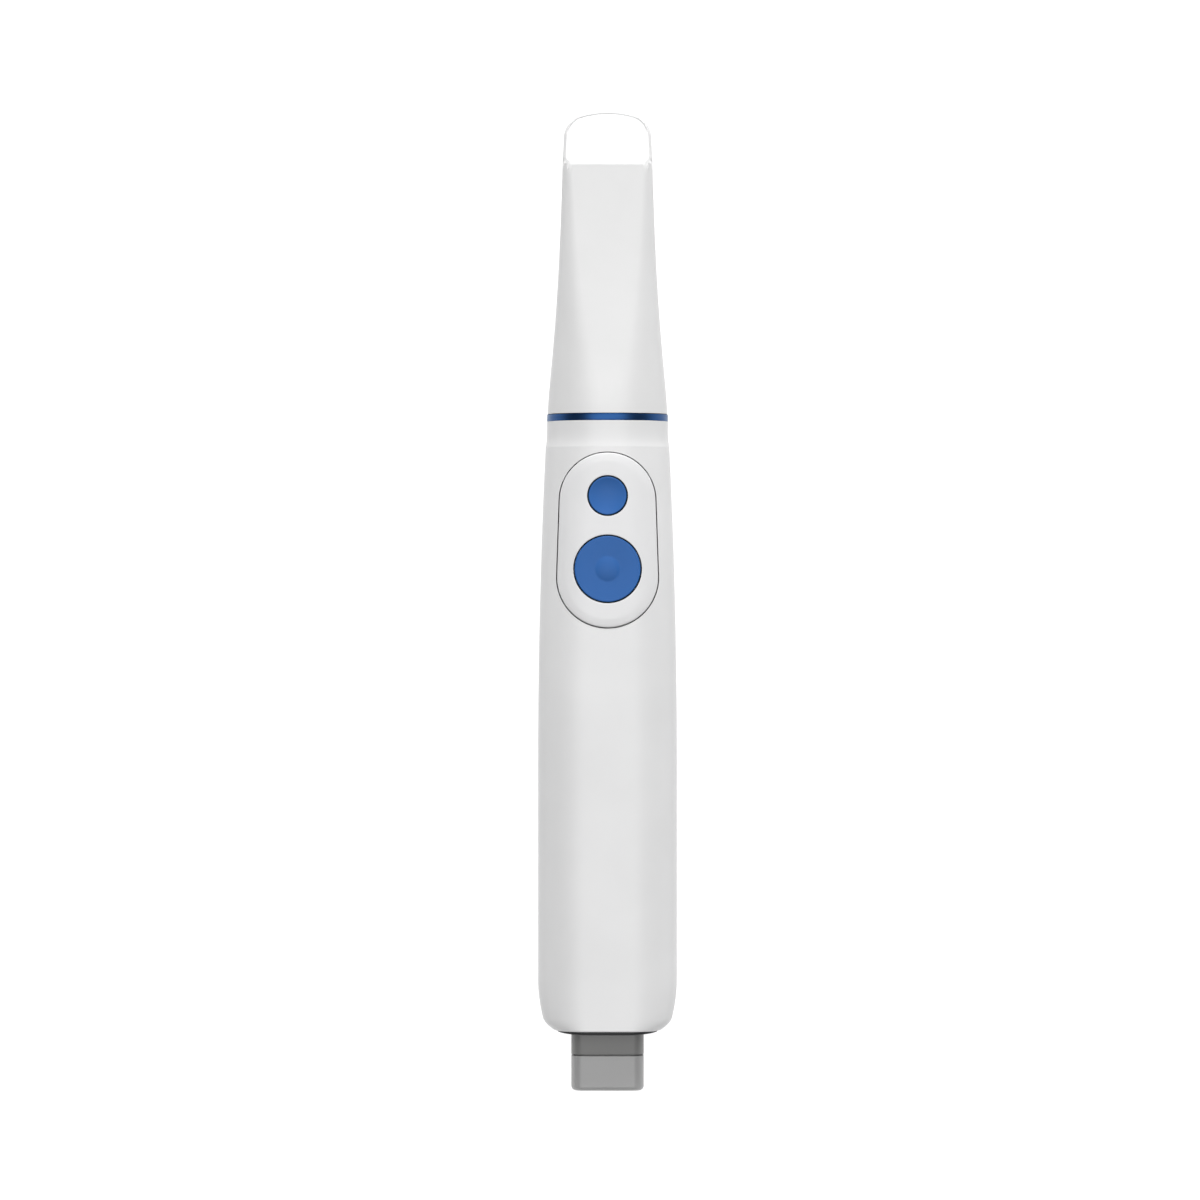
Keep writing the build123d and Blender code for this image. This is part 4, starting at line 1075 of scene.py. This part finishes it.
@dataclass
class Tail:
    """The dark plate on the tail and the grey connector that goes through it."""

    plate: Outline = Outline(12.5, 12.3, 12.3, 7.7)
    plate_thickness: float = 1.6
    plate_round: float = 0.4
    plate_steps: int = 6
    plate_dome: float = 0.55
    dome_power: int = 4
    plate_gap: float = 0.1
    connector: Outline = Outline(9.05, 6.3, 6.3, 3.0)
    connector_wall: float = 1.5
    flange: float = 1.5
    flange_start: float = 3.0
    end_round: float = 1.2
    end_steps: int = 8
    seam_round: float = 0.2
    spigot: float = 4.0
    spigot_gap: float = 0.1
    socket: Outline = Outline(6.2, 3.3, 3.3, 1.4)
    socket_lip: tuple[Point, ...] = ((0.0, 0.3), (0.1, 0.1), (0.3, 0.0))
    arc: int = 12

    def build(self) -> None:
        """Model the plate, the connector's collar and its shell."""
        self._plate()
        self._collar()
        self._shell()

    @staticmethod
    def _rounding(outline: Outline, end: float, size: float, steps: int) -> list[Station]:
        """Rings of a rounded end, from the full outline in to the end face."""
        turn = quarter(steps)
        return [(end + size * (1 - along), outline.inset(size * depth)) for along, depth in turn]

    def _plate(self) -> None:
        """Model the plate with its rounded rim, its hole and its slightly domed end."""
        end, hole = LAYOUT.plate_end, self.connector.inset(-self.plate_gap)
        stations = [(end + self.plate_thickness, self.plate)]
        stations += self._rounding(self.plate, end, self.plate_round, self.plate_steps)
        stations += [(end, hole), (end + self.plate_thickness, hole)]
        bm = ring_solid(stations, LAYOUT.tail_axis)
        for vert in bm.verts:
            proud = max(0.0, (LAYOUT.tail - vert.co.y / MM) / (LAYOUT.tail - end))
            across = vert.co.x / MM / self.plate.half
            vert.co.y += self.plate_dome * proud * across**self.dome_power * MM
        piece = make_piece(bm, "tail_plate_face", DARK_PLATE)
        place_piece(piece, Body.HANDLE, "tail_dark", "tail_plate")

    def _collar(self) -> None:
        """Model the connector's collar, with a softened edge at the seam."""
        end, front = LAYOUT.collar_end, LAYOUT.tail + self.flange_start
        inside = self.connector.inset(self.connector_wall)
        flange, back = self.connector.inset(-self.flange), front + self.flange
        stations = [(front, self.connector)]
        stations += reversed(soft_edge(self.connector, end, self.seam_round))
        stations += [(end, inside), (back, inside), (back, flange), (front, flange)]
        sleeve = ring_solid(stations, LAYOUT.tail_axis, self.arc)
        piece = make_piece(sleeve, "connector_collar_sleeve", GREY_COLLAR)
        place_piece(piece, Body.HANDLE, "connector_grey", "connector_collar")

    def _shell(self) -> None:
        """Model the connector's shell with its rounded end and its socket."""
        start, end = LAYOUT.shell_start, LAYOUT.shell_end
        spigot = self.connector.inset(self.connector_wall + self.spigot_gap)
        stations = [(start + self.spigot, spigot), (start, spigot)]
        stations += soft_edge(self.connector, start, -self.seam_round)
        stations += self._rounding(self.connector, end, self.end_round, self.end_steps)
        stations += [(end + along, self.socket.inset(-out)) for along, out in self.socket_lip]
        stations.append((start + self.spigot, self.socket))
        sleeve = ring_solid(stations, LAYOUT.tail_axis, self.arc)
        piece = make_piece(sleeve, "connector_shell_sleeve", GREY_CONNECTOR)
        place_piece(piece, Body.HANDLE, "connector_grey", "connector_shell")


@dataclass
class Studio:
    """The pale light table, the soft lights and the camera above the wand."""

    camera_place: Place = (-0.001875, -0.000105, 1.6)
    lens: float = 190.0
    sensor: float = 36.0
    clip: Span = (0.05, 20.0)
    floor_half: float = 3.0
    floor_cells: int = 8
    floor_flare: float = 1.05
    floor_fall: float = 0.02
    floor_drop: float = 0.0001
    key_place: Place = (0.28, 4.4, 2.2)
    key_size: float = 2.4
    key_power: float = 255.0
    top_height: float = 2.4
    top_size: float = 2.7
    top_power: float = 46.0
    sky: float = 0.08
    horizon: Span = (0.25, 0.65)
    horizon_height: float = 0.4

    def build(self) -> None:
        """Lay the floor, hang the lights and set the camera."""
        self._floor()
        self._lamp("key_light", self.key_place, self.key_size, self.key_power)
        self._lamp("top_light", (0.0, 0.0, self.top_height), self.top_size, self.top_power)
        self._sky()
        self._camera()
        bpy.context.scene.view_settings.view_transform = "Standard"

    def _floor(self) -> None:
        """Lay a wide pale table that glows softly, with a turned-down edge."""
        bm = bmesh.new()
        cells, flare = self.floor_cells, self.floor_flare
        bmesh.ops.create_grid(bm, x_segments=cells, y_segments=cells, size=self.floor_half)
        rim = [edge for edge in bm.edges if edge.is_boundary]
        grown = bmesh.ops.extrude_edge_only(bm, edges=rim)["geom"]
        verts = [part for part in grown if isinstance(part, BMVert)]
        bmesh.ops.scale(bm, verts=verts, vec=(flare, flare, 1.0))
        bmesh.ops.translate(bm, verts=verts, vec=(0, 0, -self.floor_fall))
        bmesh.ops.translate(bm, verts=bm.verts, vec=(0, 0, -self.floor_drop))
        make_piece(bm, "studio_floor", LIGHT_TABLE)

    @staticmethod
    def _lamp(name: str, place: Place, size: float, power: float) -> None:
        """Hang a square soft light that faces the wand; its power is in watts."""
        data = bpy.data.lights.new(name, "AREA")
        data.energy, data.size = power, size
        lamp = bpy.data.objects.new(name, data)
        lamp.visible_camera = False
        bpy.context.scene.collection.objects.link(lamp)
        lamp.location = place
        lamp.rotation_euler = (-Vector(place)).to_track_quat("-Z", "Y").to_euler()

    def _sky(self) -> None:
        """Surround the studio with dim white walls, brighter low down and on the right."""
        world = bpy.data.worlds.new("studio_sky")
        bpy.context.scene.world = world
        world.use_nodes = True
        nodes, links = world.node_tree.nodes, world.node_tree.links
        walls = nodes["Background"]
        walls.inputs["Color"].default_value = (1.0, 1.0, 1.0, 1.0)
        place = nodes.new("ShaderNodeTexCoord")
        split = nodes.new("ShaderNodeSeparateXYZ")
        across = nodes.new("ShaderNodeMapRange")
        across.inputs["From Min"].default_value = -1.0
        across.inputs["To Min"].default_value = self.horizon[0]
        across.inputs["To Max"].default_value = self.horizon[1]
        height = nodes.new("ShaderNodeMapRange")
        height.interpolation_type = "SMOOTHSTEP"
        height.inputs["From Max"].default_value = self.horizon_height
        height.inputs["To Max"].default_value = self.sky
        links.new(place.outputs["Generated"], split.inputs["Vector"])
        links.new(split.outputs["X"], across.inputs["Value"])
        links.new(split.outputs["Z"], height.inputs["Value"])
        links.new(across.outputs["Result"], height.inputs["To Min"])
        links.new(height.outputs["Result"], walls.inputs["Strength"])

    def _camera(self) -> None:
        """Set a long lens straight above the wand, its tip towards the top of the frame."""
        data = bpy.data.cameras.new("camera")
        data.lens, data.sensor_width = self.lens, self.sensor
        data.clip_start, data.clip_end = self.clip
        camera = bpy.data.objects.new("camera", data)
        bpy.context.scene.collection.objects.link(camera)
        camera.location = self.camera_place
        bpy.context.scene.camera = camera


def dress_nodes() -> None:
    """Give every CAD node that stays its finish."""
    for finish, names in CARRIED_NODES.items():
        for name in names:
            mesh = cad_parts[name].data
            mesh.materials.clear()
            mesh.materials.append(finish.material())
            log.info("%s wears %s", name, finish.name)


def main() -> None:
    """Build the wand's pieces in order, dress the nodes and set the studio."""
    logging.basicConfig(level=logging.INFO, format="%(name)s: %(message)s")
    grip = Grip()
    panel = ButtonPanel(grip)
    grip.build(panel)
    panel.build()
    PushButton(
        "small_button", Body.SMALL_BUTTON, panel.small_y, panel.small_radius, dish=0.75
    ).build(panel)
    PushButton(
        "large_button",
        Body.LARGE_BUTTON,
        panel.large_y,
        panel.large_radius,
        dish=0.35,
        dome_radius=3.1,
        dome_height=0.45,
    ).build(panel)
    Neck().build(grip)
    ScanTip().build()
    Tail().build()
    dress_nodes()
    Studio().build()


if __name__ == "__main__":
    main()
